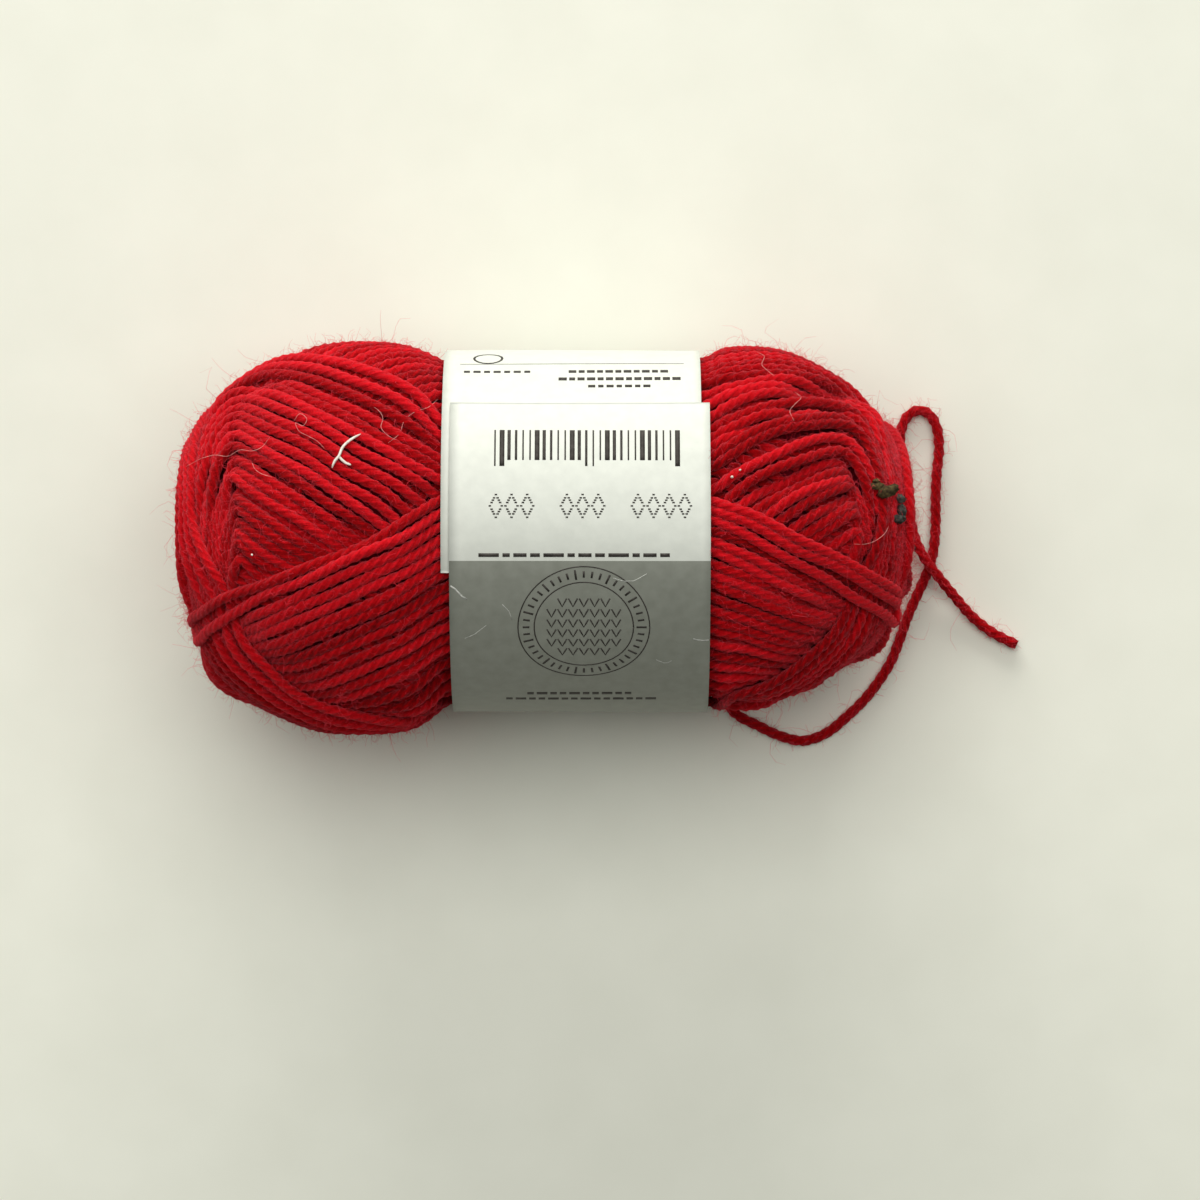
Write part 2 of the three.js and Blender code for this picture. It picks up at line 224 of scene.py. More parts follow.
def surface_normal(distance, turn):
    normal_along, normal_out = normal_at(distance)
    return np.stack([normal_along, normal_out * np.sin(turn), normal_out * np.cos(turn)], axis=-1)


# Route of one strand over the outline, at even steps
class Strand:
    def __init__(self, distance, turn):
        at = lengths_along(surface_point(distance, turn))
        even = np.arange(0, at[-1], LAY_STEP)
        at = np.maximum.accumulate(at + 1e-12 * np.arange(len(at)))
        self.distance = np.interp(even, at, distance)
        self.turn = np.interp(even, at, turn)
        self.height = None

    def beside(self, offset, ahead=0.0):
        """The same route moved sideways over the surface, and a share of a step ahead."""
        reach = np.maximum(radius_at(self.distance), LEAST_RADIUS)
        along, around = np.gradient(self.distance), np.gradient(self.turn)
        size = np.maximum(np.hypot(along, around * reach), TINY)
        distance = self.distance - offset * around * reach / size + ahead * along
        return distance, self.turn + offset * along / size / reach + ahead * around

    def path(self):
        """Centre line of the laid strand, clear of the floor."""
        return surface_point(self.distance, self.turn, self.height, YARN_RADIUS)


def soften(values, reach):
    """Running average of the values, with a bell-shaped weight."""
    half = int(3 * reach) + 1
    weights = np.exp(-0.5 * (np.arange(-half, half + 1) / reach) ** 2)
    padded = np.pad(values, half, mode="edge")
    return np.convolve(padded, weights / weights.sum(), mode="valid")


def sideways(reach):
    """Even offsets from one side of a strand to the other."""
    return np.arange(-reach, reach + SMALL, SIDE_STEP)


# How deep the strands reach below the outline so far, as they are peeled off from the top one
class Winding:
    def __init__(self, relief):
        self.rows = relief.shape[0]
        self.under = relief.copy()
        self.cover = np.zeros(relief.shape, bool)

    def cells(self, distance, turn):
        row = np.clip((distance / CELL).astype(int), 0, self.rows - 1)
        column = np.floor(turn / (2 * math.pi) * CELLS_AROUND).astype(int) % CELLS_AROUND
        return row, column

    def tuck(self, strand):
        """The strand goes below those that are on top of it, and bends softly to do so."""
        sides = [self.cover[self.cells(*strand.beside(q))] for q in COVER_SIDES]
        strand.hidden = np.all(sides, axis=0)
        room = np.min([self.under[self.cells(*strand.beside(q))] for q in (-FOOT, 0, FOOT)], axis=0)
        from_dimple = np.minimum(strand.distance, SKEIN_REACH - strand.distance)
        room = np.maximum(room, np.interp(from_dimple, END_REACHES, (DEEPEST_AT_END, DEEPEST)))
        padded = np.pad(room, BEND_SAMPLES, mode="edge")
        spans = np.lib.stride_tricks.sliding_window_view(padded, 2 * BEND_SAMPLES + 1)
        eased = soften(spans.min(axis=1), BEND_SAMPLES)
        strand.height = soften(np.minimum(eased, room), SETTLE_SAMPLES) - TOUCH_DEPTH
        for q in sideways(TOP_REACH):
            belly = strand.height - BELLY * math.sqrt(YARN_RADIUS ** 2 - q * q)
            for ahead in SHARES_AHEAD:
                np.minimum.at(self.under, self.cells(*strand.beside(q, ahead)), belly)
        for q in sideways(COVER_REACH):
            for ahead in SHARES_AHEAD:
                self.cover[self.cells(*strand.beside(q, ahead))] = True


# Criss-cross loops around one end. Each loop lies in a slanting plane, and the next one
# faces a little further around. A loop stops at a distance from the dimple.
LOOP_SLOPE = 27
LOOP_PITCH = 0.0021
LOOP_SAMPLES = 400
LOOP_RADIUS = 0.031
STOPS = {LEFT: 0.0800, RIGHT: 0.0600}

# Inner loops from the deepest on: end, facing of the first one, number, offset and pitch
INNER_LOOPS = [
    (LEFT, 0, 30, 0.0035, 0.0055), (LEFT, 100, 36, 0.0070, 0.0045),
    (RIGHT, 0, 30, 0.0035, 0.0055), (RIGHT, 50, 36, 0.0070, 0.0045),
    (LEFT, 60, 96, 0.0105, LOOP_PITCH), (RIGHT, -100, 92, 0.0100, LOOP_PITCH),
]


def end_loop(side, facing, offset):
    """One loop around an end, which passes its dimple at the offset."""
    distance = STOPS[side] * np.linspace(0, 1, LOOP_SAMPLES)
    measured = distance if side == LEFT else SKEIN_REACH - distance
    along = np.abs(along_at(measured))
    end = np.max(along)
    drop = (end - along) * math.tan(math.radians(LOOP_SLOPE))
    past_rim = np.maximum.accumulate(along >= end)
    cosine = (offset - np.where(past_rim, drop, 0)) / np.maximum(radius_at(measured), SMALL)
    first = np.max(np.nonzero(cosine >= 1)[0], initial=0) + 1
    swing = np.arccos(np.clip(cosine[first:], -1, 1))
    distances = np.concatenate([measured[first:][::-1], measured[first:]])
    turns = np.concatenate([facing - swing[::-1], facing + swing])
    return Strand(distances, turns)


def inner_strands():
    """The loops that are wound first, from the deepest on."""
    strands = []
    for side, facing, count, offset, pitch in INNER_LOOPS:
        step = pitch / (LOOP_RADIUS * math.cos(math.radians(LOOP_SLOPE)))
        strands += [end_loop(side, math.radians(facing) + k * step, offset) for k in range(count)]
    return strands


# Middle of the photograph's frame in its pixels, and the camera's distance in them. The place
# that a pixel shows is found in a few rounds from a first guess of its height.
FRAME_MIDDLE = 600
FRAME_DISTANCE = 5233
GUESSED_HEIGHT = 0.058
SIGHT_ROUNDS = 12


def seen(side, *pixels):
    """Places on the outline for pixels of the photograph, which are across and down. The
    distance is measured from the dimple of the side's end."""
    places = []
    widest = np.argmax(np.abs(OUTLINE[:, 0]) * (np.sign(OUTLINE[:, 0]) == side))
    half = OUTLINE[widest:, :] if side == LEFT else OUTLINE[:widest + 1, :]
    half_at = OUTLINE_AT[widest:] if side == LEFT else OUTLINE_AT[:widest + 1]
    for across, down in pixels:
        height = GUESSED_HEIGHT
        for _ in range(SIGHT_ROUNDS):
            scale = (CAMERA_PLACE[2] - height) / FRAME_DISTANCE
            along = CAMERA_PLACE[0] + (across - FRAME_MIDDLE) * scale - AXIS_X
            y = CAMERA_PLACE[1] - (down - FRAME_MIDDLE) * scale
            radius = np.interp(along, half[:, 0], half[:, 1])
            distance = np.interp(along, half[:, 0], half_at)
            top = surface_point(distance, 0.0)
            turn = math.asin(np.clip((y - top[1]) / max(radius, SMALL), -1, 1))
            height = top[2] - radius + radius * math.cos(turn)
        places.append((distance if side == LEFT else SKEIN_REACH - distance, math.degrees(turn)))
    return places


# Bundles of strands on the upper face, from the deepest to the top one. Each has some guide
# strands: (number of the strand, one or more stretches of its route), and the strands
# between two guides share out the room between them. A stretch is made of places: (distance
# over the outline from the dimple of its end, turn around the axis), some of them by pixels of
# the photograph. It leads on from the last place of the stretch before.
UPPER_LEFT = [
    (0, [[(0.0860, 56), (0.0760, 46), (0.0660, 35), (0.0520, 20), (0.0440, 10)]]),
    (17, [[(0.0860, 132), (0.0760, 124), (0.0660, 114), (0.0480, 94), (0.0340, 72)]]),
]
FALLING_LEFT = [
    (0, [seen(LEFT, (455, 424), (441, 412), (421, 391), (394, 376), (356, 363), (319, 355)),
        [(0.0405, 79), (0.0346, 86), (0.0282, 88), (0.0222, 83), (0.0178, 66), (0.0158, 38),
            (0.0152, 10)],
        [(0.0160, -30), (0.0225, -75), (0.0450, -138), (0.0800, -182)]]),
    (3, [seen(LEFT, (455, 463), (441, 454), (421, 443), (389, 427), (356, 409), (324, 395), (303, 386),
            (273, 379)),
        seen(LEFT, (245, 383), (222, 394), (206, 412), (193, 436), (184, 462)),
        [(0.0165, 36), (0.0156, 10), (0.0168, -35), (0.0235, -75), (0.0450, -134), (0.0800, -176)]]),
    (6, [seen(LEFT, (455, 496), (441, 489), (421, 479), (389, 462), (356, 446), (324, 427), (281, 406),
            (238, 396)),
        seen(LEFT, (225, 401), (211, 417), (199, 441), (191, 468), (186, 495)),
        [(0.0188, 5), (0.0178, -18), (0.0182, -48), (0.0240, -78), (0.0450, -129), (0.0800, -170)]]),
    (9, [seen(LEFT, (425, 534), (402, 522), (373, 500), (340, 481), (313, 462), (265, 438), (231, 420)),
        seen(LEFT, (221, 428), (210, 446), (202, 471), (196, 495), (194, 520)),
        [(0.0212, -6), (0.0195, -28), (0.0196, -53), (0.0248, -80), (0.0450, -124), (0.0800, -163)]]),
    (12, [seen(LEFT, (385, 558), (362, 543), (340, 526), (313, 508), (268, 477), (228, 454)),
        seen(LEFT, (219, 466), (211, 485), (204, 508), (200, 530), (201, 551)),
        [(0.0232, -18), (0.0212, -38), (0.0211, -60), (0.0257, -83), (0.0450, -122), (0.0800, -156)]]),
    (14, [seen(LEFT, (365, 566), (340, 551), (313, 532), (287, 514), (243, 487), (226, 473)),
        seen(LEFT, (218, 493), (211, 516), (207, 538), (208, 562)),
        [(0.0253, -24), (0.0230, -44), (0.0226, -65), (0.0266, -86), (0.0450, -119), (0.0800, -150)]]),
    (17, [seen(LEFT, (340, 580), (313, 563), (292, 549), (268, 532), (249, 519), (229, 504)),
        seen(LEFT, (221, 524), (215, 546), (213, 564), (216, 582)),
        [(0.0275, -30), (0.0250, -49), (0.0244, -70), (0.0279, -89), (0.0450, -116), (0.0800, -144)]]),
    (20, [seen(LEFT, (305, 592), (281, 578), (265, 570), (249, 557), (232, 540)),
        seen(LEFT, (225, 557), (219, 573), (217, 587), (219, 598)),
        [(0.0286, -35), (0.0264, -54), (0.0259, -75), (0.0291, -93), (0.0450, -113), (0.0800, -138)]]),
    (22, [seen(LEFT, (283, 602), (260, 588), (249, 578), (241, 567), (237, 557)),
        seen(LEFT, (230, 567), (224, 580), (221, 592), (222, 604)),
        [(0.0292, -38), (0.0272, -57), (0.0268, -77), (0.0300, -95), (0.0450, -111), (0.0800, -134)]]),
]
RISING_LEFT = [
    (0, [seen(LEFT, (475, 512), (444, 527), (421, 541), (389, 557), (356, 571), (324, 586), (297, 598),
            (249, 621), (230, 632)),
        [(0.0268, -50), (0.0222, -70), (0.0188, -98), (0.0188, -132), (0.0260, -160), (0.0450, -178),
            (0.0800, -198)]]),
    (6, [seen(LEFT, (475, 588), (447, 603), (421, 616), (389, 633), (356, 648), (324, 661), (297, 672),
            (273, 680)),
        [(0.0345, -55), (0.0275, -80), (0.0225, -112), (0.0225, -148), (0.0300, -178), (0.0500, -200),
            (0.0800, -224)]]),
    (10, [seen(LEFT, (475, 645), (452, 655), (432, 665), (400, 681), (370, 695), (340, 708),
            (322, 714)),
        [(0.0420, -72), (0.0340, -95), (0.0260, -125), (0.0240, -165), (0.0320, -195), (0.0520, -218),
            (0.0800, -242)]]),
    (15, [seen(LEFT, (475, 690), (455, 706), (440, 713), (420, 720), (405, 725)),
        [(0.0540, -86), (0.0430, -105), (0.0330, -130), (0.0270, -165), (0.0300, -200), (0.0420, -226),
            (0.0800, -262)]]),
]
LEFT_END = [
    (0, [[(0.0800, 168), (0.0600, 155), (0.0400, 136), (0.0290, 112), (0.0225, 84), (0.0203, 50)],
        seen(LEFT, (186, 500), (188, 525), (198, 552), (208, 577), (217, 598), (224, 622), (238, 646),
            (262, 670), (287, 693), (316, 709), (350, 719), (390, 725), (430, 722), (475, 716))]),
    (3, [[(0.0800, 180), (0.0600, 167), (0.0400, 149), (0.0260, 125), (0.0180, 95), (0.0155, 56),
            (0.0145, 22)],
        seen(LEFT, (178, 520), (178.5, 560), (183, 590), (189, 615), (197, 640), (213, 666), (236, 689),
            (264, 709), (297, 724), (335, 735), (375, 739), (415, 738), (450, 732), (475, 726))]),
    (9, [[(0.0800, 198), (0.0600, 186), (0.0400, 168), (0.0270, 140), (0.0190, 110), (0.0155, 70),
            (0.0142, 30)],
        [(0.0140, 8), (0.0144, -18), (0.0165, -45), (0.0205, -68), (0.0262, -84), (0.0360, -98),
            (0.0480, -107), (0.0650, -116), (0.0800, -124)]]),
]
LEFT_EDGE = [
    (0, [seen(LEFT, (475, 484), (441, 500), (410, 519), (383, 536), (356, 549), (324, 562), (287, 576),
            (254, 588), (227, 598), (206, 608), (192, 616)),
        [(0.0195, -50), (0.0165, -72), (0.0150, -105), (0.0180, -150), (0.0300, -178), (0.0550, -194),
            (0.0800, -205)]]),
    (1, [seen(LEFT, (475, 498), (443, 514), (421, 526), (389, 543), (356, 557), (324, 571), (292, 586),
            (265, 597), (243, 608), (222, 620), (203, 634)),
        [(0.0215, -62), (0.0185, -82), (0.0168, -110), (0.0200, -150), (0.0310, -174), (0.0550, -190),
            (0.0800, -201)]]),
]
RISING_RIGHT = [
    (0, [seen(RIGHT, (695, 494), (714, 485), (734, 474), (755, 462), (775, 452), (795, 443), (816, 437),
            (836, 434), (850, 435)),
        seen(RIGHT, (861, 444), (871, 460), (879, 477), (884, 496), (886, 520), (882, 548), (876, 575),
            (868, 592))]),
    (1, [seen(RIGHT, (706, 508), (721, 498), (742, 483), (767, 470), (793, 460), (818, 451),
            (847, 446)),
        seen(RIGHT, (858, 458), (869, 476), (877, 494), (881, 515), (880, 540), (875, 565),
            (866, 590))]),
    (2, [seen(RIGHT, (724, 516), (742, 505), (762, 490), (783, 480), (803, 472), (823, 463),
            (850, 456)),
        seen(RIGHT, (857, 470), (865, 487), (873, 505), (877, 525), (876, 550), (870, 572),
            (862, 590))]),
    (5, [seen(RIGHT, (745, 528), (762, 516), (783, 503), (806, 490), (829, 481), (857, 472)),
        seen(RIGHT, (862, 487), (868, 503), (872, 518), (873, 536), (871, 558), (866, 574),
            (858, 592))]),
    (7, [seen(RIGHT, (778, 542), (798, 528), (818, 513), (839, 503), (861, 492)),
        seen(RIGHT, (865, 508), (868, 523), (869, 540), (867, 558), (862, 574), (855, 590))]),
    (9, [seen(RIGHT, (798, 556), (818, 541), (839, 526), (863, 509)),
        seen(RIGHT, (866, 521), (866, 536), (865, 552), (860, 572), (852, 588))]),
    (10, [seen(RIGHT, (815, 564), (839, 549), (854, 536), (864, 526)),
        seen(RIGHT, (865, 538), (863, 552), (857, 570), (849, 585))]),
]
FALLING_RIGHT = [
    (0, [seen(RIGHT, (690, 522), (714, 531), (737, 540), (762, 553), (785, 567), (808, 580), (829, 592),
            (854, 608)),
        [(0.0275, -38), (0.0235, -52), (0.0190, -75), (0.0175, -105), (0.0190, -140), (0.0300, -168),
            (0.0620, -193)]]),
    (5, [seen(RIGHT, (690, 580), (714, 588), (739, 597), (767, 608), (793, 618), (834, 631)),
        [(0.0305, -55), (0.0255, -72), (0.0210, -95), (0.0200, -125), (0.0240, -155), (0.0360, -180),
            (0.0620, -205)]]),
    (9, [seen(RIGHT, (690, 630), (713, 634), (739, 639), (767, 648), (793, 656), (812, 661)),
        [(0.0350, -62), (0.0290, -80), (0.0240, -105), (0.0220, -135), (0.0250, -165), (0.0370, -192),
            (0.0620, -215)]]),
    (12, [seen(RIGHT, (690, 667), (711, 669), (734, 672), (757, 676), (778, 681)),
        [(0.0410, -70), (0.0340, -88), (0.0275, -112), (0.0245, -142), (0.0265, -174), (0.0380, -202),
            (0.0620, -224)]]),
    (16, [seen(RIGHT, (690, 699), (710, 701), (727, 702), (742, 701)),
        [(0.0460, -82), (0.0390, -98), (0.0310, -122), (0.0260, -152), (0.0270, -186), (0.0390, -214),
            (0.0620, -236)]]),
]
TOP_RIGHT = [
    (0, [seen(RIGHT, (690, 424), (713, 411), (729, 402), (747, 394), (765, 389), (783, 385), (803, 383),
            (824, 384), (843, 388)),
        seen(RIGHT, (858, 394), (872, 407), (883, 427), (890, 447), (895, 468), (899, 492), (901, 518),
            (899, 545), (893, 572), (885, 596), (874, 620), (859, 643)),
        [(0.0330, -64), (0.0420, -78), (0.0520, -87), (0.0620, -96)]]),
    (3, [seen(RIGHT, (690, 384), (706, 380), (734, 374), (762, 370), (785, 370), (808, 374), (829, 379),
            (849, 385)),
        seen(RIGHT, (864, 392), (879, 406), (890, 426), (898, 447), (903, 470), (906, 495), (907, 520),
            (905, 546), (899, 570), (892, 592), (881, 616), (866, 640)),
        [(0.0330, -72), (0.0420, -86), (0.0520, -95), (0.0620, -104)]]),
    (18, [[(0.0620, 118), (0.0550, 118), (0.0490, 119), (0.0440, 120), (0.0390, 121), (0.0330, 122),
            (0.0280, 121)],
        [(0.0230, 115), (0.0190, 101), (0.0162, 82), (0.0145, 56), (0.0137, 28), (0.0135, 0),
            (0.0139, -28), (0.0160, -58), (0.0205, -84), (0.0260, -104)],
        [(0.0330, -118), (0.0420, -125), (0.0520, -131), (0.0620, -138)]]),
]
SECOND_RIGHT = [
    (0, [seen(RIGHT, (690, 436), (714, 424), (734, 414), (760, 405), (785, 400), (811, 397), (839, 400),
            (857, 405)),
        seen(RIGHT, (871, 417), (884, 437), (891, 456), (895, 475), (898, 496), (899, 522), (897, 552),
            (891, 582), (881, 610), (866, 637), (846, 661), (821, 682), (791, 697), (757, 707),
            (715, 712), (690, 713))]),
    (4, [seen(RIGHT, (690, 474), (713, 463), (729, 453), (747, 442), (767, 433), (790, 425), (813, 421),
            (839, 420), (853, 422)),
        seen(RIGHT, (866, 432), (877, 452), (883, 470), (887, 487), (888, 510), (885, 537), (879, 562),
            (871, 583), (861, 604), (849, 623), (834, 641), (818, 657), (802, 670), (784, 682),
            (763, 692), (735, 700), (711, 706), (690, 708))]),
]
RIGHT_EDGE = [
    (0, [seen(RIGHT, (690, 496), (713, 502), (729, 508), (752, 514), (778, 526), (803, 541), (829, 553),
            (849, 562), (864, 570), (878, 579), (893, 588), (905, 594)),
        [(0.0150, -75), (0.0155, -125), (0.0240, -160), (0.0600, -190)]]),
    (1, [seen(RIGHT, (690, 503), (714, 511), (734, 518), (757, 528), (780, 541), (806, 554), (831, 565),
            (854, 577), (872, 587), (888, 597), (902, 605)),
        [(0.0158, -82), (0.0165, -128), (0.0250, -160), (0.0600, -187)]]),
    (2, [seen(RIGHT, (690, 511), (714, 521), (737, 531), (762, 544), (788, 558), (813, 572), (839, 587),
            (859, 600), (875, 609), (890, 618), (898, 624)),
        [(0.0185, -58), (0.0165, -88), (0.0175, -130), (0.0260, -160), (0.0600, -184)]]),
]
BUNDLES = [
    (LEFT, UPPER_LEFT), (LEFT, FALLING_LEFT), (LEFT, RISING_LEFT), (LEFT, LEFT_END),
    (LEFT, LEFT_EDGE), (RIGHT, RISING_RIGHT), (RIGHT, FALLING_RIGHT), (RIGHT, TOP_RIGHT),
    (RIGHT, SECOND_RIGHT), (RIGHT, RIGHT_EDGE),
]

# Strands of a bundle wander a little from their even spacing
WANDER = 0.00014
WANDER_WAVE = 0.018
UNEVEN = 0.12
ROUTE_SAMPLES = 2

# A guide's stretches as smooth curves: steps of each, and the radius that turns are measured at
SPLINE_STEPS = 12
STRETCH_STEPS = 40
TURN_RADIUS = 0.025


def even_stretch(places):
    """A stretch's places as a smooth curve with an even number of steps, turns in radians."""
    curve = spline(np.array(places, float) * (1, math.radians(1) * TURN_RADIUS), SPLINE_STEPS)
    at = lengths_along(curve)
    return at_lengths(np.linspace(0, at[-1], STRETCH_STEPS), at, curve) / (1, TURN_RADIUS)


def guide_curve(stretches):
    """A guide's stretches one after the other, each led in by the end of the one before."""
    curves = []
    for places in stretches:
        if curves:
            distance, turn = curves[-1][-1]
            places = [(distance, math.degrees(turn))] + places
        curves.append(even_stretch(places))
    return np.vstack([curves[0]] + [curve[1:] for curve in curves[1:]])


def bundle(side, guides, seed):
    """The strands of one bundle at one end."""
    draw = np.random.default_rng(seed)
    numbers = [number for number, _ in guides]
    curves = np.array([guide_curve(stretches) for _, stretches in guides])
    strands = []
    for k in range(numbers[-1] + 1):
        shifted = k + (draw.uniform(-UNEVEN, UNEVEN) if 0 < k < numbers[-1] else 0)
        below = min(int(np.searchsorted(numbers, shifted, side="right")) - 1, len(numbers) - 2)
        share = (shifted - numbers[below]) / (numbers[below + 1] - numbers[below])
        curve = curves[below] * (1 - share) + curves[below + 1] * share
        distance = curve[:, 0] if side == LEFT else SKEIN_REACH - curve[:, 0]
        strand = Strand(distance, curve[:, 1])
        strand.distance = soften(strand.distance, ROUTE_SAMPLES)
        strand.turn = soften(strand.turn, ROUTE_SAMPLES)
        phase = draw.uniform(0, 2 * math.pi)
        wave = np.sin(np.arange(len(strand.distance)) * LAY_STEP / WANDER_WAVE * 2 * math.pi + phase)
        strand.distance, strand.turn = strand.beside(WANDER * wave)
        strands.append(strand)
    return strands


def outer_strands():
    """The bundles of the upper face, from the deepest on."""
    strands = []
    for seed, (side, guides) in enumerate(BUNDLES):
        strands += bundle(side, guides, seed)
    return strands


def smooth_grid(grid, reach):
    """The grid blurred over a reach in metres along the outline and around the axis."""
    blurred = np.apply_along_axis(soften, 0, grid, reach / CELL)
    half = CELLS_AROUND // 2
    wrapped = np.hstack([blurred[:, half:], blurred, blurred[:, :half]])
    cell_around = 2 * math.pi * GRID_RADIUS / CELLS_AROUND
    wrapped = np.apply_along_axis(soften, 1, wrapped, reach / cell_around)
    return wrapped[:, CELLS_AROUND - half:2 * CELLS_AROUND - half]


# The skein stands higher where more bundles cross than nearby, up to a limit in layers, and it
# stays inside the band at the waist.
NEAR_REACH = 0.0015
FAR_REACH = 0.0070
LAYER_RISE = 0.0006
LAYER_LIMIT = 1.2
BAND_NEAR = 0.0009
BAND_ROOM = 0.0002
WAIST_RADIUS = BAND_RADIUS - BAND_LAP_LIFT - BAND_THICKNESS - BAND_ROOM
NO_LIMIT = 1.0


def crossing_relief(strands, shape):
    """Height of the skein over its outline, from how many outer strands cross at each cell."""
    counter = Winding(np.zeros(shape))
    layers = np.zeros(shape)
    for strand in strands:
        crossed = np.zeros(shape, bool)
        for q in sideways(COVER_REACH):
            crossed[counter.cells(*strand.beside(q))] = True
        layers += crossed
    near, far = smooth_grid(layers, NEAR_REACH), smooth_grid(layers, FAR_REACH)
    relief = LAYER_RISE * np.clip(near - far, -LAYER_LIMIT, LAYER_LIMIT)
    distance = np.arange(shape[0]) * CELL
    along = along_at(distance)
    band_right_edge = BAND_LEFT_EDGE + BAND_WIDTH
    is_waist = (along > BAND_LEFT_EDGE - BAND_NEAR) & (along < band_right_edge + BAND_NEAR)
    room_below = np.where(is_waist, WAIST_RADIUS - radius_at(distance), NO_LIMIT)
    return np.minimum(relief, room_below[:, None])


def wind():
    """Lays all strands, so that the top ones follow the outline and its relief."""
    outer = outer_strands()
    winding = Winding(crossing_relief(outer, (int(SKEIN_REACH / CELL) + 1, CELLS_AROUND)))
    strands = inner_strands() + outer
    for strand in reversed(strands):
        winding.tuck(strand)
    return winding, strands


# Meshes


def ring_quads(rings, count, flipped=False):
    """Four-cornered faces between closed rings of points, each with the same count."""
    start = np.arange(rings - 1)[:, None] * count
    corner = np.arange(count)[None, :]
    following = (corner + 1) % count
    quads = np.stack([start + corner, start + following, start + following + count,
                      start + corner + count], axis=-1).reshape(-1, 4)
    return quads[:, [0, 3, 2, 1]] if flipped else quads


def joined(shapes):
    """Corners and faces of several shapes as those of one."""
    vertices, faces, first = [], [], 0
    for points, quads in shapes:
        vertices.append(points)
        faces.append(quads + first)
        first += len(points)
    return np.vstack(vertices), np.vstack(faces)


def mesh_of_quads(name, vertices, quads):
    """A mesh from arrays of vertices and four-cornered faces."""
    mesh = bpy.data.meshes.new(name)
    mesh.vertices.add(len(vertices))
    mesh.vertices.foreach_set("co", np.asarray(vertices, np.float32).ravel())
    mesh.loops.add(quads.size)
    mesh.loops.foreach_set("vertex_index", quads.astype(np.int32).ravel())
    mesh.polygons.add(len(quads))
    mesh.polygons.foreach_set("loop_start", np.arange(0, quads.size, quads.shape[1], dtype=np.int32))
    mesh.update(calc_edges=True)
    return mesh


def add_attribute(mesh, name, values):
    """Values for each vertex that a material reads: single numbers or vectors."""
    values = np.asarray(values, np.float32)
    kind, key = ("FLOAT", "value") if values.ndim == 1 else ("FLOAT_VECTOR", "vector")
    layer = mesh.attributes.new(name, kind, "POINT")
    layer.data.foreach_set(key, values.ravel())


def finish_object(name, mesh, material, smooth=True):
    """A mesh object that rides on the skein's body."""
    if smooth:
        mesh.polygons.foreach_set("use_smooth", np.ones(len(mesh.polygons), bool))
    piece = bpy.data.objects.new(name, mesh)
    bpy.context.scene.collection.objects.link(piece)
    piece.data.materials.append(material)
    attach(piece, "root")
    return piece


# Node tree of one material, with short calls for the nodes it uses
class Shader:
    def __init__(self, name):
        self.material = bpy.data.materials.new(name)
        self.material.use_nodes = True
        self.tree = self.material.node_tree
        self.surface = self.tree.nodes["Principled BSDF"]

    def add(self, kind, **inputs):
        node = self.tree.nodes.new(kind)
        for key, value in inputs.items():
            self.put(node.inputs[key.replace("_", " ")], value)
        return node

    def put(self, socket, value):
        if hasattr(value, "is_output"):
            self.tree.links.new(value, socket)
        else:
            socket.default_value = value

    def math(self, operation, first, second=0.0):
        node = self.tree.nodes.new("ShaderNodeMath")
        node.operation = operation
        self.put(node.inputs[0], first)
        self.put(node.inputs[1], second)
        return node.outputs[0]

    def scaled(self, value, factor, base):
        """The value times a factor, plus a base."""
        result = self.math("MULTIPLY_ADD", value, factor)
        self.put(result.node.inputs[2], base)
        return result

    def noise(self, scale, detail=2.0, vector=None):
        node = self.add("ShaderNodeTexNoise", Scale=scale, Detail=detail)
        if vector is not None:
            self.put(node.inputs["Vector"], vector)
        return node.outputs["Fac"]

    def ramp(self, factor, stops):
        node = self.tree.nodes.new("ShaderNodeValToRGB")
        elements = node.color_ramp.elements
        while len(elements) < len(stops):
            elements.new(0.5)
        for element, (place, colour) in zip(elements, stops):
            element.position = place
            element.color = (*colour, 1)
        self.put(node.inputs["Fac"], factor)
        return node.outputs["Color"]

    def mix(self, factor, first, second, kind="MIX"):
        node = self.tree.nodes.new("ShaderNodeMix")
        node.data_type = "RGBA"
        node.blend_type = kind
        self.put(node.inputs[0], factor)
        for socket, value in ((node.inputs[6], first), (node.inputs[7], second)):
            self.put(socket, value if hasattr(value, "is_output") else (*value, 1))
        return node.outputs[2]

    def attribute(self, name):
        node = self.tree.nodes.new("ShaderNodeAttribute")
        node.attribute_name = name
        return node

    def object_place(self):
        return self.tree.nodes.new("ShaderNodeTexCoord").outputs["Object"]

    def bump(self, height, strength, depth):
        node = self.add("ShaderNodeBump", Strength=strength, Distance=depth, Height=height)
        self.put(self.surface.inputs["Normal"], node.outputs["Normal"])

    def set(self, **inputs):
        for key, value in inputs.items():
            socket = self.surface.inputs[key.replace("_", " ")]
            is_colour = isinstance(value, tuple) and len(value) == 3
            self.put(socket, (*value, 1) if is_colour else value)


def mottled_shader(name, colours, scale, detail, stops=(0.3, 0.7), relief=None, **surface):
    """Stuff with a mottled tone between two colours, and a fine relief where one is given."""
    shader = Shader(name)
    grain = shader.noise(scale, detail, shader.object_place())
    shader.set(Base_Color=shader.ramp(grain, list(zip(stops, colours))), **surface)
    if relief:
        shader.bump(grain, *relief)
    return shader.material


WOOL_DARK = (0.110, 0.0004, 0.0010)
WOOL_MID = (0.39, 0.0014, 0.0034)
WOOL_LIGHT = (0.74, 0.0085, 0.0170)
WOOL_STOPS = [(0.12, WOOL_DARK), (0.50, WOOL_MID), (0.92, WOOL_LIGHT)]
DOWN_SCALE = 2300


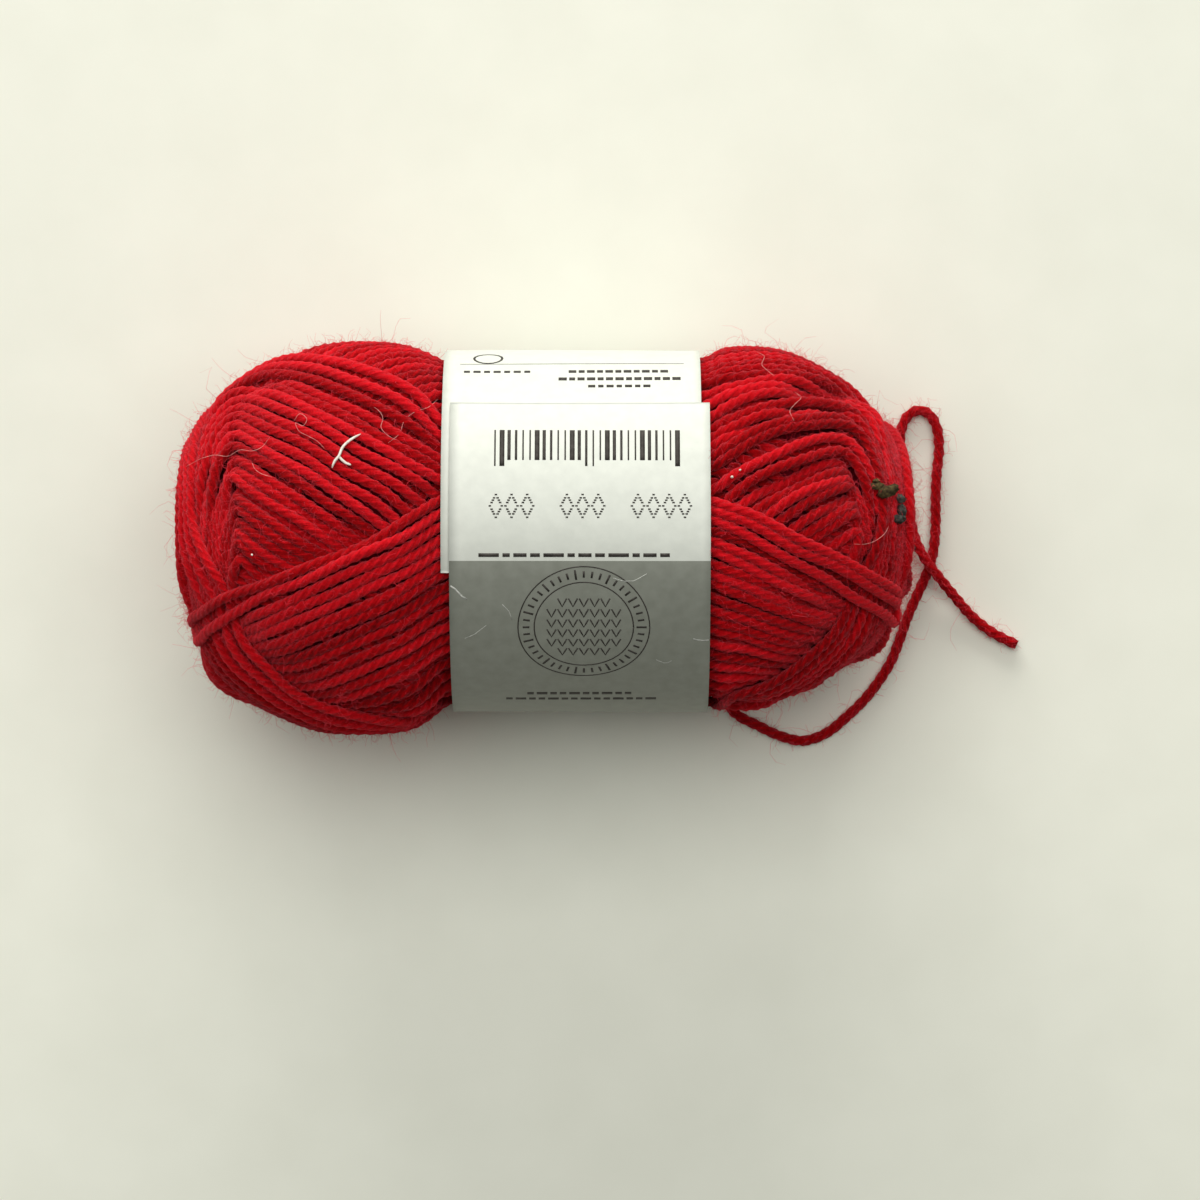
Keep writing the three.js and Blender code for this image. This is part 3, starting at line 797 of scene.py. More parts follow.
def wool_shader():
    """Spun wool: fine streaks along each ply, painted shade that darkens the groove between plies, and
    a soft sheen.
    """
    shader = Shader("crimson_wool")
    place = shader.attribute("yarn_place_and_groove_shade").outputs["Vector"]
    groove = shader.add("ShaderNodeSeparateXYZ", Vector=place).outputs["Z"]
    shade = shader.attribute("strand_shade").outputs["Fac"]
    streaks = shader.noise(1.0, 3.0, shader.attribute("ply_place").outputs["Vector"])
    down = shader.noise(DOWN_SCALE, 2.0, shader.object_place())
    tone = shader.scaled(streaks, 0.55, -0.01)
    # Lighter crests and darker grooves: painted shade between the plies
    tone = shader.math("ADD", tone, shader.math("MULTIPLY", groove, 0.38))
    tone = shader.math("ADD", tone, shader.math("MULTIPLY", shade, 0.22))
    tone = shader.math("ADD", tone, shader.scaled(down, 0.44, -0.22))
    height = shader.math("ADD", streaks, shader.math("MULTIPLY", down, 0.9))
    shader.set(Base_Color=shader.ramp(tone, WOOL_STOPS), Roughness=0.9, Specular_IOR_Level=0.05,
               Sheen_Weight=0.5, Sheen_Roughness=0.4, Sheen_Tint=(1.0, 0.16, 0.20))
    shader.bump(height, 0.75, 0.00030)
    return shader.material


def core_shader():
    """The wool deep between the strands: duller, and darker as painted shade between them."""
    return mottled_shader("inner_wool_painted_shade", ((0.10, 0.0010, 0.005), (0.20, 0.002, 0.010)), 900, 3.0,
                          relief=(0.6, 0.0004), Roughness=0.95, Specular_IOR_Level=0.1)


def fuzz_shader():
    """Loose wool fibres: lighter and pinker than the strands, painted light for how thin fibres catch
    the light, with a random mottle.
    """
    return mottled_shader("wool_fibres_painted_light", ((0.60, 0.012, 0.025), (0.85, 0.06, 0.09)), 120, 2.0,
                          Roughness=0.8, Specular_IOR_Level=0.2)


# Rings of points around a strand's centre line. Each ring turns with the plies, so that a
# point stays on its crest or in its groove. The material's streaks follow the place on the
# ring and along the yarn, and are shifted from strand to strand.
SECTION_COUNT = PLIES * POINTS_A_PLY
GROOVE_SHARPNESS = 1.3
STREAKS_AROUND = 7
STREAKS_ALONG = 260
STREAKS_SHIFT = 50


def section_radii():
    """Angle of each point of a ring, its radius as a share of the yarn's, and how far it is from
    a groove."""
    angle = np.arange(SECTION_COUNT) / SECTION_COUNT * 2 * math.pi
    crest = np.abs(np.sin(angle * PLIES / 2 + math.pi * 0.5 / POINTS_A_PLY))
    share = 1 - PLY_GROOVE * (1 - crest) ** GROOVE_SHARPNESS
    return angle, share, crest


def tube(path, outward, first_turn, streak_shade, shade):
    """One plied strand along a path: its corners and faces, and the values its material reads."""
    at = lengths_along(path)
    rings = max(int(at[-1] / RING_STEP), 2) + 1
    even = np.linspace(0, at[-1], rings)
    centre = at_lengths(even, at, path)
    normal = at_lengths(even, at, outward)
    forward = unit(np.gradient(centre, axis=0))
    normal = unit(normal - np.sum(normal * forward, axis=1)[:, None] * forward)
    side = np.cross(forward, normal)
    angle, share, crest = section_radii()
    turned = angle[None, :] - (first_turn + even / PLY_PITCH * 2 * math.pi)[:, None]
    reach = (YARN_RADIUS * share)[None, :, None]
    points = centre[:, None] + reach * (
        np.cos(turned)[..., None] * normal[:, None] + np.sin(turned)[..., None] * side[:, None])
    around = np.broadcast_to(angle[None, :], turned.shape)
    along = np.broadcast_to(even[:, None], turned.shape)
    ply = np.stack([np.cos(around) * STREAKS_AROUND, np.sin(around) * STREAKS_AROUND,
                    along * STREAKS_ALONG + streak_shade * STREAKS_SHIFT], axis=-1)
    # How far each point is from a groove, which the wool material turns into painted shade in the
    # grooves
    crests = np.broadcast_to(crest[None, :], turned.shape)
    place = np.stack([around, along, crests], axis=-1)
    return {
        "shape": (points.reshape(-1, 3), tube_faces(rings)),
        "ply_place": ply.reshape(-1, 3),
        "yarn_place_and_groove_shade": place.reshape(-1, 3),
        "strand_shade": np.full(rings * SECTION_COUNT, shade),
    }


def tube_faces(rings):
    """Faces between the rings, and fans of four-cornered faces that close both ends."""
    cap = np.array([[0, 2 * j + 3, 2 * j + 2, 2 * j + 1] for j in range(SECTION_COUNT // 2 - 1)])
    far_cap = cap[:, ::-1] + (rings - 1) * SECTION_COUNT
    return np.vstack([ring_quads(rings, SECTION_COUNT), cap, far_cap])


def plied_mesh(name, tubes):
    """One mesh of many plied strands, with the attributes that the wool shader reads."""
    mesh = mesh_of_quads(name, *joined([one["shape"] for one in tubes]))
    for key in ("ply_place", "yarn_place_and_groove_shade", "strand_shade"):
        add_attribute(mesh, key, np.concatenate([one[key] for one in tubes]))
    return mesh


# A strand shows in stretches, which go on for a few samples out of sight. Very short ones are
# left out.
SPARE_SAMPLES = 4
FEWEST_SAMPLES = 6
PIECE_FACES = 78000
WINDING_SEED = 21


def shown_runs(hidden):
    """First and last sample of each stretch of a strand that shows."""
    shown = ~hidden
    wide = shown.copy()
    for k in range(1, SPARE_SAMPLES + 1):
        wide[k:] |= shown[:-k]
        wide[:-k] |= shown[k:]
    edges = np.flatnonzero(np.diff(np.concatenate([[0], wide.astype(int), [0]])))
    return [(a, b) for a, b in zip(edges[::2], edges[1::2]) if b - a >= FEWEST_SAMPLES]


def strand_tubes(strand, draw):
    """The plied tubes of the stretches of a strand that show."""
    tubes = []
    shade = draw.uniform(-1, 1)
    first_turn = draw.uniform(0, 2 * math.pi)
    path = strand.path()
    outward = surface_normal(strand.distance, strand.turn)
    for a, b in shown_runs(strand.hidden):
        start = first_turn + a * LAY_STEP / PLY_PITCH * 2 * math.pi
        tubes.append(tube(path[a:b], outward[a:b], start, shade, shade))
    return tubes


def make_windings(strands, material):
    """The strands that show, in as many pieces as keep each one light enough."""
    draw = np.random.default_rng(WINDING_SEED)
    batches, size = [[]], 0
    for strand in strands:
        for one in strand_tubes(strand, draw):
            faces = len(one["strand_shade"])
            if size + faces > PIECE_FACES:
                batches.append([])
                size = 0
            batches[-1].append(one)
            size += faces
    for number, batch in enumerate(batches, 1):
        name = f"windings_{number}"
        piece = finish_object(name, plied_mesh(name, batch), material)
        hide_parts("wound_skein")


# The core's grid, and how softly its surface rises and closes at the dimples
CORE_ROWS = 120
CORE_COLUMNS = 120
CORE_BLUR = 0.0012
CORE_CLOSES = 0.0060


def make_core(winding, material):
    """The inside of the skein, just below the strands that show."""
    rows = np.linspace(0, SKEIN_REACH, CORE_ROWS)
    columns = np.linspace(0, 2 * math.pi, CORE_COLUMNS, endpoint=False)
    distance, turn = np.meshgrid(rows, columns, indexing="ij")
    height = np.where(winding.cover, CORE_DEPTH, WAIST_DEPTH)
    height = smooth_grid(height, CORE_BLUR)[winding.cells(distance, turn)]
    height *= blend(0.0, CORE_CLOSES, radius_at(distance))
    points = surface_point(distance, turn, height).reshape(-1, 3)
    mesh = mesh_of_quads("wound_core", points, ring_quads(CORE_ROWS, CORE_COLUMNS, flipped=True))
    piece = finish_object("wound_core", mesh, material)
    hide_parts("wound_skein")


# The loose end: steps between two points of its route, its own tone, and how many steps lie
# between two points of the path that is handed on
TAIL_STEPS = 12
TAIL_STREAK_SHADE = 0.2
TAIL_SHADE = -0.4


def make_tail(material):
    """The loose end: it lies on the floor beside the skein, and is cut off bare."""
    path = spline(TAIL_ROUTE, TAIL_STEPS)
    upward = np.tile([0.0, 0.0, 1.0], (len(path), 1))
    mesh = plied_mesh("yarn_tail_cord", [tube(path, upward, 0.0, TAIL_STREAK_SHADE, TAIL_SHADE)])
    piece = finish_object("yarn_tail_cord", mesh, material)
    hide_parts("yarn_tail")
    return path


# The paper band: rows along the strip and columns across it, the angles where it comes down from
# its lap, and the slight waves of its surface
BAND_ROWS = 440
BAND_COLUMNS = 24
LAP_RISE = (LAP_END + 4, LAP_END + 60)
WAVE_HEIGHT = 0.00016
WAVES_AROUND = 5
WAVE_LEAN = 60
WAVE_FROM_EDGE = 0.012
WAVE_SHARE = 0.6


def band_radius(angle):
    """Outer radius of the strip: the last part lies over the first one."""
    return BAND_RADIUS - BAND_LAP_LIFT + BAND_LAP_LIFT * blend(*LAP_RISE, angle)


def band_point(angle, across, lift=0.0):
    """Point of the strip's outer face: an angle along the strip, and a distance from its
    left edge."""
    angle = np.asarray(angle, float)
    turn = np.radians(angle)
    drift = BAND_DRIFT * blend(DRIFT_FROM, DRIFT_TO, angle)
    wave = WAVE_HEIGHT * np.sin(turn * WAVES_AROUND + across * WAVE_LEAN)
    wave = wave * blend(0, WAVE_FROM_EDGE, across)
    radius = band_radius(angle) + lift + wave * WAVE_SHARE
    return np.stack([
        AXIS_X + BAND_LEFT_EDGE + drift + across,
        AXIS_Y + radius * np.sin(turn),
        AXIS_Z + radius * np.cos(turn),
    ], axis=-1)


def strip_rim():
    """Numbers of the points around the edge of the strip's grid, one after the other."""
    last_row, last_column = BAND_ROWS - 1, BAND_COLUMNS - 1
    rim = list(range(BAND_COLUMNS))
    rim += [row * BAND_COLUMNS + last_column for row in range(1, BAND_ROWS)]
    rim += [last_row * BAND_COLUMNS + column for column in range(last_column - 1, -1, -1)]
    return rim + [row * BAND_COLUMNS for row in range(last_row - 1, 0, -1)]


def make_band(material):
    """The strip as one closed sheet: its outer face, its inner face and its edge."""
    angles = np.linspace(BAND_START, 360 + LAP_END, BAND_ROWS)
    angle, across = np.meshgrid(angles, np.linspace(0, BAND_WIDTH, BAND_COLUMNS), indexing="ij")
    outer = band_point(angle, across).reshape(-1, 3)
    inner = band_point(angle, across, -BAND_THICKNESS).reshape(-1, 3)
    row = np.arange(BAND_ROWS - 1)[:, None] * BAND_COLUMNS
    a = row + np.arange(BAND_COLUMNS - 1)[None, :]
    b, c, d = a + 1, a + 1 + BAND_COLUMNS, a + BAND_COLUMNS
    under = len(outer)
    up = np.stack([a, d, c, b], axis=-1).reshape(-1, 4)
    down = np.stack([a, b, c, d], axis=-1).reshape(-1, 4) + under
    here = np.array(strip_rim())
    there = np.roll(here, -1)
    edge = np.stack([here + under, there + under, there, here], axis=-1)
    mesh = mesh_of_quads("label_band", np.vstack([outer, inner]), np.vstack([up, down, edge]))
    flat = np.stack([across, angle, np.zeros_like(across)], axis=-1).reshape(-1, 3)
    add_attribute(mesh, "strip_place", np.vstack([flat, flat]))
    piece = finish_object("label_band", mesh, material)
    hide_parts("paper_band")


PAPER_STOPS = (0.3, 0.7)
PAPER_WHITE = ((0.62, 0.635, 0.575), (0.67, 0.685, 0.62))
PAPER_SILVER = ((0.225, 0.232, 0.195), (0.26, 0.268, 0.228))


def paper_shader():
    """Coated paper: white, with a silver-grey printed zone between two places of the strip."""
    shader = Shader("band_paper")
    place = shader.attribute("strip_place").outputs["Vector"]
    angle = shader.add("ShaderNodeSeparateXYZ", Vector=place).outputs["Y"]
    fibre = shader.noise(500, 3.0, shader.object_place())
    white = shader.ramp(fibre, list(zip(PAPER_STOPS, PAPER_WHITE)))
    silver = shader.ramp(fibre, list(zip(PAPER_STOPS, PAPER_SILVER)))
    is_silver = shader.math("MULTIPLY", shader.math("GREATER_THAN", angle, SILVER_FROM),
                            shader.math("LESS_THAN", angle, SILVER_TO))
    shader.set(Base_Color=shader.mix(is_silver, white, silver),
               Roughness=shader.scaled(is_silver, -0.12, 0.55), Specular_IOR_Level=0.4)
    shader.bump(shader.noise(160, 3.0, shader.object_place()), 0.15, 0.0003)
    return shader.material


# Print on the strip: thin closed bars of ink that stand a little proud of the paper
INK_RISE = 0.000035
INK_STEP = 0.0010
BAR_CORNERS = ((1, -INK_RISE), (1, INK_RISE), (-1, INK_RISE), (-1, -INK_RISE))


def ink_line(places, width):
    """Corners and faces of one printed line through places on the strip, each of them a
    distance across it and an angle along it."""
    flat = np.array(places, float) * (1, math.radians(1) * BAND_RADIUS)
    at = lengths_along(flat)
    even = np.linspace(0, at[-1], int(at[-1] / INK_STEP) + 2)
    line = at_lengths(even, at, flat)
    forward = unit(np.gradient(line, axis=0))
    side = np.stack([-forward[:, 1], forward[:, 0]], axis=1) * width / 2
    rows = []
    for offset, lift in BAR_CORNERS:
        moved = line + offset * side
        rows.append(band_point(np.degrees(moved[:, 1] / BAND_RADIUS), moved[:, 0], lift))
    last = (len(even) - 1) * 4
    caps = np.array([[0, 1, 2, 3], [last + 3, last + 2, last + 1, last]])
    quads = np.vstack([ring_quads(len(even), 4, flipped=True), caps])
    return np.stack(rows, axis=1).reshape(-1, 3), quads


def ring_places(centre, radius, count=72):
    """Places of a printed circle on the strip, as they are for a line."""
    turn = np.linspace(0, 2 * math.pi, count + 1)
    across = centre[0] + radius * np.cos(turn)
    angle = centre[1] + np.degrees(radius * np.sin(turn) / BAND_RADIUS)
    return np.stack([across, angle], axis=1)


# Places of the print: distances across the strip in metres, angles along it in degrees
BARS_FROM, BARS_TO = 0.0076, 0.0382
BAR_LOW, BAR_HIGH, BAR_LONG = 381.5, 392.0, 379.5
BAR_PITCH = 0.00117
BAR_WIDTHS = (0.00026, 0.00055, 0.00026, 0.00082, 0.00040)
LONG_BARS_EVERY = 13
DOT = 0.00042
DOT_GROUPS = ((0.0066, 3), (0.0184, 3), (0.0302, 4))
DOTS_A_DIAMOND = 16
DOT_HEIGHT_SHARE = 0.6
DIAMOND_ANGLE = 366.9
DIAMOND_FIRST = 0.0012
DIAMOND_PITCH = 0.0026
DIAMOND_WIDE, DIAMOND_TALL = 0.0010, 0.0019
SEAL_CENTRE = (0.0224, 328.0)
SEAL_RADII = (0.0110, 0.0083)
SEAL_RING_WIDTH = 0.00020
SEAL_TICKS = 44
TICK_ENDS, LONG_TICK_ENDS = (0.0091, 0.0102), (0.0088, 0.0105)
TICK_WIDTH = 0.00034
SEAL_ROWS = (5, 7, 7, 7, 7, 5)
SEAL_MIDDLE_ROW = 3
SEAL_PITCH, SEAL_ROW_ANGLE = 0.0018, 3.6
SEAL_STITCH, SEAL_STITCH_WIDTH = 0.0015, 0.00024
RULE = ([(0.0028, 66.0), (0.0407, 66.0)], 0.00014)
UPPER_RING = ((0.0075, 71.0), 0.0024, 36)
UPPER_RING_WIDTH = 0.0004
BACK_ROWS = (140, 155, 170, 185, 200, 215, 230)
BACK_FIRST, BACK_COUNT, BACK_PITCH = 0.0057, 11, 0.0032
BACK_STITCH, BACK_STITCH_WIDTH = 0.0026, 0.0004

# Rows of dashes: angle, start, end, lengths taken in turn, gap and width
DASH_ROWS = (
    (351.8, 0.0049, 0.0392, (0.0034, 0.0012, 0.0022, 0.0016), 0.0006, 0.00062),
    (297.5, 0.0128, 0.0322, (0.0011, 0.0018, 0.0011), 0.0005, 0.00080),
    (293.5, 0.0092, 0.0358, (0.0011, 0.0018, 0.0011), 0.0005, 0.00080),
    (52.0, 0.0245, 0.0352, (0.0012, 0.0009), 0.0005, 0.0007),
    (56.0, 0.0195, 0.0405, (0.0014, 0.0010, 0.0012), 0.0004, 0.0009),
    (60.5, 0.0212, 0.0388, (0.0013, 0.0010), 0.0004, 0.0009),
    (60.5, 0.0035, 0.0150, (0.0010, 0.0012), 0.0006, 0.0007),
)


def dashes(angle, start, end, lengths, gap, width):
    """A row of dashes across the strip, with their lengths taken in turn."""
    lines, place, k = [], start, 0
    while place + lengths[k % len(lengths)] <= end:
        reach = lengths[k % len(lengths)]
        lines.append(([(place, angle), (place + reach, angle)], width))
        place += reach + gap
        k += 1
    return lines


def stitch(across, angle, size, width):
    """A small V like a knitted stitch."""
    rise = np.degrees(size / BAND_RADIUS)
    ends = [(across - size / 2, angle + rise), (across, angle), (across + size / 2, angle + rise)]
    return ends, width


def bar_lines():
    """Bars side by side, with a longer pair now and then."""
    lines = []
    for k in range(int((BARS_TO - BARS_FROM) / BAR_PITCH) + 1):
        across = BARS_FROM + k * BAR_PITCH
        low = BAR_LONG if k % LONG_BARS_EVERY in (0, 1) else BAR_LOW
        lines.append(([(across, low), (across, BAR_HIGH)], BAR_WIDTHS[(k * 3) % len(BAR_WIDTHS)]))
    return lines


def dotted_diamonds():
    lines = []
    for start, count in DOT_GROUPS:
        for number in range(count):
            middle = start + DIAMOND_FIRST + number * DIAMOND_PITCH
            for k in range(DOTS_A_DIAMOND):
                turn = k / DOTS_A_DIAMOND * 2 * math.pi
                corner = abs(math.cos(turn)) + abs(math.sin(turn))
                across = middle + DIAMOND_WIDE * math.cos(turn) / corner
                rise = DIAMOND_TALL * math.sin(turn) / corner / BAND_RADIUS
                angle = DIAMOND_ANGLE + math.degrees(rise)
                ends = [(across - DOT / 2, angle), (across + DOT / 2, angle)]
                lines.append((ends, DOT * DOT_HEIGHT_SHARE))
    return lines


def seal_lines():
    """Two rings with ticks between them, and rows of stitches inside."""
    centre_across, centre_angle = SEAL_CENTRE
    lines = [(ring_places(SEAL_CENTRE, radius), SEAL_RING_WIDTH) for radius in SEAL_RADII]
    for k in range(SEAL_TICKS):
        turn = k / SEAL_TICKS * 2 * math.pi
        ends = []
        for reach in TICK_ENDS if k % 4 else LONG_TICK_ENDS:
            rise = math.degrees(reach * math.sin(turn) / BAND_RADIUS)
            ends.append((centre_across + reach * math.cos(turn), centre_angle + rise))
        lines.append((ends, TICK_WIDTH))
    for row, count in enumerate(SEAL_ROWS):
        for k in range(count):
            across = centre_across + (k - (count - 1) / 2) * SEAL_PITCH
            angle = centre_angle + (row - SEAL_MIDDLE_ROW) * SEAL_ROW_ANGLE
            lines.append(stitch(across, angle, SEAL_STITCH, SEAL_STITCH_WIDTH))
    return lines


def print_lines():
    """All lines of the print, for white and silver-grey paper alike."""
    lines = bar_lines() + dotted_diamonds() + seal_lines()
    for row in DASH_ROWS:
        lines += dashes(*row)
    lines += [RULE, (ring_places(*UPPER_RING), UPPER_RING_WIDTH)]
    for number, angle in enumerate(BACK_ROWS):
        for k in range(BACK_COUNT):
            across = BACK_FIRST + k * BACK_PITCH + (number % 2) * BACK_PITCH / 2
            lines.append(stitch(across, angle, BACK_STITCH, BACK_STITCH_WIDTH))
    return lines


# Creases where the coat of the paper has cracked, as (places on the strip, width)
SCUFFS = (
    ([(0.0002, 342.1), (0.0012, 340.9), (0.0019, 338.9), (0.0029, 337.8)], 0.00028),
    ([(0.0273, 344.6), (0.0290, 343.6), (0.0308, 343.7), (0.0329, 346.0)], 0.00012),
    ([(0.0407, 323.6), (0.0420, 322.9), (0.0433, 323.2)], 0.00022),
    ([(0.0025, 323.9), (0.0041, 325.4), (0.0061, 328.7)], 0.00010),
    ([(0.0088, 336.0), (0.0100, 333.5), (0.0104, 330.8)], 0.00008),
    ([(0.0345, 315.0), (0.0362, 313.2), (0.0371, 314.6)], 0.00008),
)


def make_lines(name, lines, material):
    """One piece of many lines on the strip."""
    mesh = mesh_of_quads(name, *joined([ink_line(places, width) for places, width in lines]))
    piece = finish_object(name, mesh, material, smooth=False)
    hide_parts("paper_band")


def ink_shader():
    """Dark ink with a slightly worn tone."""
    return mottled_shader("dark_ink", ((0.022, 0.018, 0.015), (0.060, 0.052, 0.045)), 900, 3.0,
                          stops=(0.3, 0.75), Roughness=0.6, Specular_IOR_Level=0.3)


# Loose fibres that stand off the yarn: thin curly hairs with three sides
FIBRE_WIDTH = 0.000065
FIBRE_SIDES = 3
FIBRE_STEPS = 4
FIBRE_PIECES = 3
FIBRES_A_PIECE = 5900
FIBRE_SHORT, FIBRE_LONG = 0.0008, 0.0029
LONG_SHARE, LONGEST = 0.03, 0.0070
FIBRE_FLOOR = 0.00006
TAPER = 0.6
TAIL_FIBRES = 3
FIBRE_SEED = 8

# No fibre grows this near the band's left and right edges
BARE_LEFT, BARE_RIGHT = 0.0008, 0.0014

# Ranges of the draws for one fibre: lean around the yarn, share that points outward, spread along
# and across the yarn, half turns of curl, and how wide the curl swings
LEAN = (-1.3, 1.3)
ROOT_DEPTH = 0.75
OUTWARD_SHARE = (0.15, 0.95)
FORWARD_SPREAD, SIDE_SPREAD = 0.7, 0.35
SHORTNESS = 1.8
CURL = (0.7, 2.3)
SWING = (0.10, 0.30)


def fibre_roots(strands, tail_path, count, draw):
    """Places on the yarn where fibres start, with the outward and forward directions."""
    places, outwards, forwards = [], [], []
    for strand in strands:
        along = along_at(strand.distance)
        right_edge = BAND_LEFT_EDGE + BAND_WIDTH
        bare = (along < BAND_LEFT_EDGE - BARE_LEFT) | (along > right_edge + BARE_RIGHT)
        shown = np.flatnonzero(~strand.hidden & bare)
        if len(shown) < 3:
            continue
        path = strand.path()
        places.append(path[shown])
        forwards.append(np.gradient(path, axis=0)[shown])
        outwards.append(surface_normal(strand.distance, strand.turn)[shown])
    places.append(np.repeat(tail_path, TAIL_FIBRES, axis=0))
    forwards.append(np.repeat(np.gradient(tail_path, axis=0), TAIL_FIBRES, axis=0))
    outwards.append(np.tile([0.0, 0.0, 1.0], (len(tail_path) * TAIL_FIBRES, 1)))
    places, outwards, forwards = np.vstack(places), np.vstack(outwards), np.vstack(forwards)
    pick = draw.integers(0, len(places), count)
    return places[pick], outwards[pick], unit(forwards[pick])


def fibre_mesh(name, roots, draw):
    """Curly hairs from the roots, each leaning off the yarn and winding about."""
    place, outward, forward = roots
    count = len(place)
    side = np.cross(forward, outward)
    lean = draw.uniform(*LEAN, count)[:, None]
    out = np.cos(lean) * outward + np.sin(lean) * side
    root = place + out * YARN_RADIUS * ROOT_DEPTH
    way = out * draw.uniform(*OUTWARD_SHARE, count)[:, None]
    way = way + forward * draw.normal(0, FORWARD_SPREAD, count)[:, None]
    way = unit(way + side * draw.normal(0, SIDE_SPREAD, count)[:, None])
    length = FIBRE_SHORT + (FIBRE_LONG - FIBRE_SHORT) * draw.random(count) ** SHORTNESS
    is_long = draw.random(count) < LONG_SHARE
    length = np.where(is_long, draw.uniform(FIBRE_LONG, LONGEST, count), length)
    first_side = unit(np.cross(way, draw.normal(size=(count, 3))))
    second_side = np.cross(way, first_side)
    share = np.linspace(0, 1, FIBRE_STEPS + 1)[None, :, None]
    curl = draw.uniform(*CURL, count)[:, None, None] * math.pi
    phase = draw.uniform(0, 2 * math.pi, count)[:, None, None]
    swing = draw.uniform(*SWING, count)[:, None, None]
    bent = share * way[:, None] + swing * (
        (np.cos(curl * share + phase) - np.cos(phase)) * first_side[:, None]
        + (np.sin(curl * share + phase) - np.sin(phase)) * second_side[:, None])
    centre = root[:, None] + length[:, None, None] * bent
    centre[..., 2] = np.maximum(centre[..., 2], FIBRE_FLOOR)
    angle = np.arange(FIBRE_SIDES) / FIBRE_SIDES * 2 * math.pi
    taper = FIBRE_WIDTH / 2 * (1 - TAPER * share)
    ring = (np.cos(angle)[None, None, :, None] * first_side[:, None, None]
            + np.sin(angle)[None, None, :, None] * second_side[:, None, None])
    points = centre[:, :, None] + taper[..., None] * ring
    points[..., 2] = np.maximum(points[..., 2], FIBRE_FLOOR / 2)
    first = np.arange(count)[:, None, None] * (FIBRE_STEPS + 1) * FIBRE_SIDES
    quads = (first + ring_quads(FIBRE_STEPS + 1, FIBRE_SIDES)).reshape(-1, 4)
    return mesh_of_quads(name, points.reshape(-1, 3), quads)


def make_fibres(strands, tail_path, material):
    draw = np.random.default_rng(FIBRE_SEED)
    for number in range(1, FIBRE_PIECES + 1):
        roots = fibre_roots(strands, tail_path, FIBRES_A_PIECE, draw)
        name = f"loose_fibres_{number}"
        piece = finish_object(name, fibre_mesh(name, roots, draw), material)
        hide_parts("wound_skein")


# Bits caught on the wool, by pixels of the photograph. Crumbs have a size along X, Y and Z.
WHITE_LINT = (
    ((332, 468), (335, 461), (339, 456), (343, 447), (352, 439), (361, 434)),
    ((339, 456), (342, 460), (346, 463), (351, 465)),
)
PALE_HAIRS_LEFT = (
    ((186, 467), (200, 459), (215, 455), (228, 456), (240, 450), (252, 451), (262, 447), (270, 437)),
    ((438, 398), (428, 407), (414, 412), (404, 421), (399, 434), (388, 443)),
    ((374, 407), (380, 412), (383, 419), (381, 427), (386, 434), (396, 440)),
    ((294, 421), (300, 414), (307, 419), (303, 426), (296, 423), (299, 431), (308, 436), (317, 441),
     (325, 449)),
    ((252, 462), (255, 469), (262, 474), (272, 477)),
)
PALE_HAIRS_RIGHT = (
    ((795, 391), (801, 397), (795, 404), (790, 411), (794, 421)),
    ((757, 352), (764, 356), (762, 365), (768, 371), (774, 376)),
    ((854, 544), (866, 544), (877, 540), (885, 533), (889, 526)),
)
WHITE_SPECKS = (
    (RIGHT, (732, 477), (0.0005, 0.0005, 0.0005)), (RIGHT, (740, 470), (0.0004, 0.0004, 0.0004)),
    (LEFT, (252, 555), (0.0004, 0.0004, 0.0004)),
)
PLANT_BITS = (
    (RIGHT, (878, 486), (0.0030, 0.0017, 0.0012)), (RIGHT, (886, 491), (0.0036, 0.0024, 0.0016)),
    (RIGHT, (893, 489), (0.0024, 0.0018, 0.0014)), (RIGHT, (877, 481), (0.0013, 0.0009, 0.0008)),
)
DARK_BITS = (
    (RIGHT, (901, 499), (0.0021, 0.0019, 0.0018)), (RIGHT, (902, 511), (0.0018, 0.0026, 0.0016)),
    (RIGHT, (899, 519), (0.0028, 0.0016, 0.0014)),
)
TAIL_BITS = ((0.0640, 0.0014, 0.0024), (0.0645, 0.0030, 0.0026), (0.0652, -0.0010, 0.0030))
TAIL_BIT_SIZE = (0.0012, 0.0018, 0.0012)
LINT_RADIUS = 0.00024
HAIR_RADIUS = 0.00004
LINT_SIDES, HAIR_SIDES = 6, 4
THREAD_STEPS = 6
THREAD_TAPER = 0.8
ON_WOOL = 0.0001
TOUCH_REACH = 0.0010
THREAD_SAMPLES = 2
BITS_SEED = 5

# A crumb's rings and their sides, the share of its height that they span, and the range of their
# reach
CRUMB_RINGS = 7
CRUMB_SIDES = 10
CRUMB_SPAN = 0.96
CRUMB_REACH = (0.55, 1.25)


def yarn_tops(strands):
    """Points along the top of every strand that shows on the upper half."""
    tops = []
    for strand in strands:
        shown = ~strand.hidden & (np.cos(strand.turn) > 0)
        tops.append(strand.path()[shown] + (0, 0, YARN_RADIUS))
    return np.vstack(tops)


def thread_on(side, pixels, tops):
    """Path of a thread that lies on the yarn, through pixels of the photograph."""
    places = np.array(seen(side, *pixels))
    distance = places[:, 0] if side == LEFT else SKEIN_REACH - places[:, 0]
    path = spline(surface_point(distance, np.radians(places[:, 1])), THREAD_STEPS)
    for point in path:
        apart = np.hypot(tops[:, 0] - point[0], tops[:, 1] - point[1])
        below = tops[apart < max(TOUCH_REACH, apart.min() + TOUCH_REACH / 4), 2]
        point[2] = below.max() + ON_WOOL
    path[:, 2] = soften(path[:, 2], THREAD_SAMPLES)
    return path


